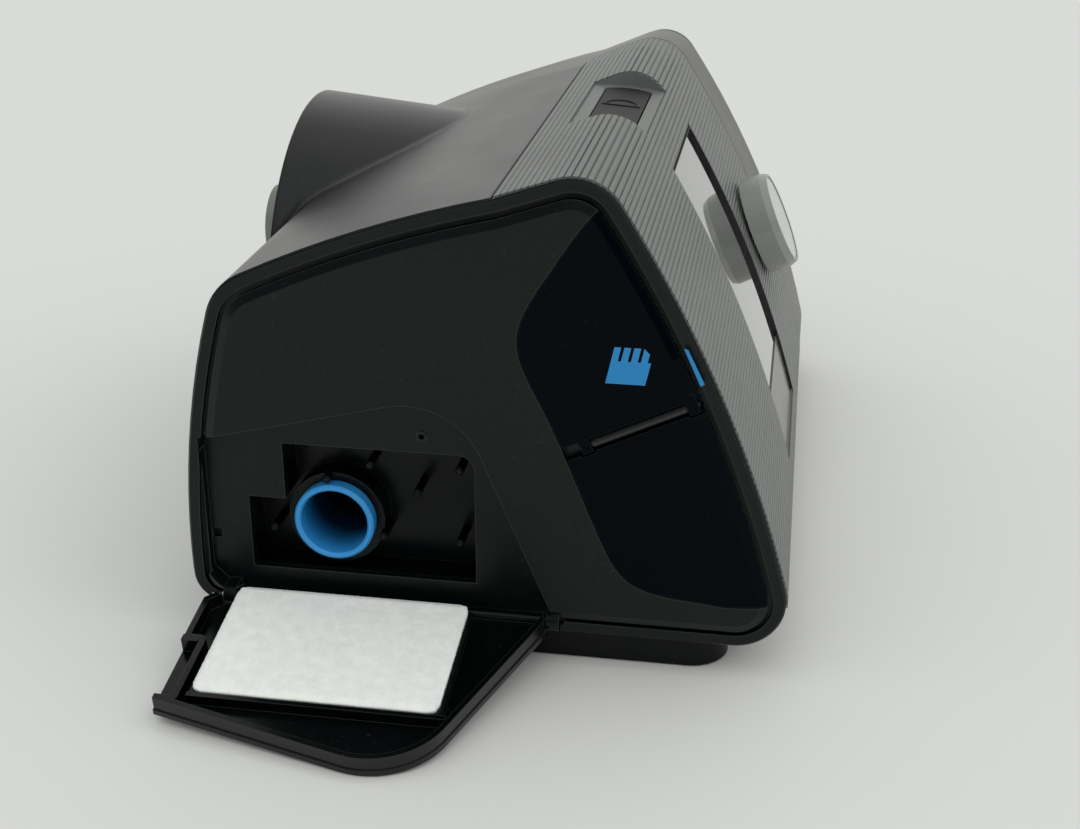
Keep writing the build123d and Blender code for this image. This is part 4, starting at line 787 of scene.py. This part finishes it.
# ---------------------------------------------------------------- card cover, bar and adapter cover
# Two covers in polished navy-black plastic on each side of a satin hinge bar. The upper one
# hides the memory card; a printed card sign and a blue tick on its bevel mark it.
gloss_navy = moulded("gloss_navy", (0.0004, 0.0018, 0.0036), 0.06, grain=30.0, patch=0.2, dust_and_painted_shade=0.006,
                     Specular_IOR_Level=0.05)
finish_node("card_cover", gloss_navy)
finish_node("adapter_cover", gloss_navy)
bar_grey = moulded("bar_grey", (0.012, 0.0135, 0.014), 0.38)
finish_node("card_cover_bar", bar_grey)
sign_blue = moulded("sign_blue", (0.003, 0.22, 0.55), 0.35, grain=0.3, depth=0.002, dust_and_painted_shade=0.0, rounding=0.0)
print_root = 0.02
sign_face = -2.2
sign_thick = 0.03
sign_place = (-102.4, 71.9)
sign_slant = 0.22
card_width = 8.6
card_height = 8.4
card_body = 5.2
cut_corner = 2.0
contact_width = 1.45
contact_pitch = 7.7 / 3.6
tick_face = -1.95
tick_thick = 0.22
tick_outline = [(-113.83, 80.75), (-114.65, 80.57), (-118.46, 72.95), (-117.63, 72.40)]


def plate(name, outlines, face_x, thick):
    """Closed thin plates of blue ink on the end panel, each given by its outline in y and z."""
    shape = bmesh.new()
    for outline in outlines:
        bridge(shape, [[at(x, y, z) for y, z in outline] for x in (face_x + print_root, face_x - thick)])
    return closed_piece(name, shape, sign_blue)


def card_sign():
    """Outlines of a slanted memory card with a cut corner and four contacts."""

    def slanted(corners):
        """Outline in y and z of corners given along the card's width and height."""
        return [(sign_place[0] - u - sign_slant * (w - card_height / 2), sign_place[1] + w)
                for u, w in corners]

    half = card_width / 2
    outlines = [slanted([(-half, 0), (half, 0), (half, card_body), (-half, card_body)])]
    for i in range(4):
        left = -half + i * contact_pitch
        right = left + contact_width
        tops = [card_height - max(0, side - (half - cut_corner)) for side in (right, left)]
        outlines.append(slanted([(left, card_body), (right, card_body), (right, tops[0]), (left, tops[1])]))
    return outlines


sign = plate("card_sign", card_sign(), sign_face, sign_thick)
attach(sign, "card_cover")
tick = plate("card_tick", [tick_outline], tick_face, tick_thick)
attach(tick, "card_cover")
finish_node("card_socket", screw_steel)
card_blue = moulded("card_blue", (0.012, 0.035, 0.16), 0.38, grain=0.3, depth=0.004)
finish_node("memory_card", card_blue)

# ---------------------------------------------------------------- air outlet
# 22 mm connector in pale grey plastic under the hood, with a rubber ring between its collar
# and the hood's wall; a plenum in front of it brings the humid air from the bay.
cuff_grey = moulded("cuff_grey", (0.22, 0.225, 0.20), 0.4)
finish_node("outlet_connector", cuff_grey)
finish_node("outlet_seal", foot_rubber)
duct_grey = moulded("duct_grey", (0.075, 0.078, 0.080), 0.5, grain=0.5, depth=0.012)
finish_node("outlet_plenum", duct_grey)

# ---------------------------------------------------------------- power inlet and retention clip
# Direct-current socket in the rear wall with three round plated pins, and the U-shaped lever
# that folds down over the plug, on a steel pin between two lugs.
finish_node("power_inlet", case_black)
pin_brass = metal("pin_brass", (0.70, 0.55, 0.28), 0.26, streak=(1.0, 0.15, 1.0))
finish_node("power_pins", pin_brass)
finish_node("retention_clip", case_black)
finish_node("clip_pin", screw_steel)

# ---------------------------------------------------------------- humidifier bay, heater and water tub
# The bay's floor carries a brushed aluminium heater plate. The tub that slides out over it is
# clear polycarbonate with a steel base plate, a silicone seal and a smoked lid; its dark end
# cap closes the machine.
finish_node("humidifier_bay", duct_grey)
heater_aluminium = metal("heater_aluminium", (0.68, 0.69, 0.70), 0.30, streak=(0.1, 2.0, 1.0))
finish_node("heater_plate", heater_aluminium)


def clear_plastic(name, colour, roughness):
    """Clear polycarbonate with faint flow lines and hairline scratches."""
    material, tree, shader = new_material(name)
    place = in_millimetres(tree)
    flow = noise(tree, place, 0.06, 3.0)
    toned = blend(tree, "MULTIPLY", 1.0, (*colour, 1), remap(tree, flow, 0.3, 0.7, 0.94, 1.0))
    tree.links.new(toned, shader.inputs["Base Color"])
    tree.links.new(remap(tree, flow, 0.3, 0.7, roughness, roughness + 0.04), shader.inputs["Roughness"])
    shader.inputs["Transmission Weight"].default_value = 0.92
    shader.inputs["IOR"].default_value = 1.58
    scratched = tree.nodes.new("ShaderNodeMapping")
    scratched.inputs["Scale"].default_value = (0.05, 3.0, 3.0)
    tree.links.new(place, scratched.inputs["Vector"])
    add_relief(tree, shader, noise(tree, scratched.outputs["Vector"], 2.0), 0.002)
    return material


finish_node("tub_body", clear_plastic("tub_clear", (0.88, 0.93, 0.95), 0.04))
finish_node("tub_plate", screw_steel)
seal_silicone = moulded("seal_silicone", (0.42, 0.46, 0.48), 0.45, grain=0.6, depth=0.004,
                        Subsurface_Weight=0.3, Subsurface_Scale=0.002)
finish_node("tub_seal", seal_silicone)
finish_node("tub_lid", clear_plastic("tub_smoke", (0.30, 0.33, 0.35), 0.06))
cap_dark = moulded("cap_dark", (0.026, 0.028, 0.028), 0.38, grain=0.3, depth=0.008)
finish_node("tub_end_cap", cap_dark)

# ---------------------------------------------------------------- blower and boards
# Round housing in grey plastic on three soft blue mounts, with its motor above and a white
# impeller in it; the main board lies below on posts of the lower case.
finish_node("blower_housing", duct_grey)
finish_node("blower_cover", duct_grey)
motor_steel = metal("motor_steel", (0.42, 0.42, 0.42), 0.3, streak=(0.2, 0.2, 2.0))
finish_node("motor", motor_steel)
impeller_white = moulded("impeller_white", (0.62, 0.62, 0.59), 0.35, grain=0.6, depth=0.004)
finish_node("impeller", impeller_white)
finish_node("blower_mounts", blue_silicone)
finish_node("main_board", board_green)
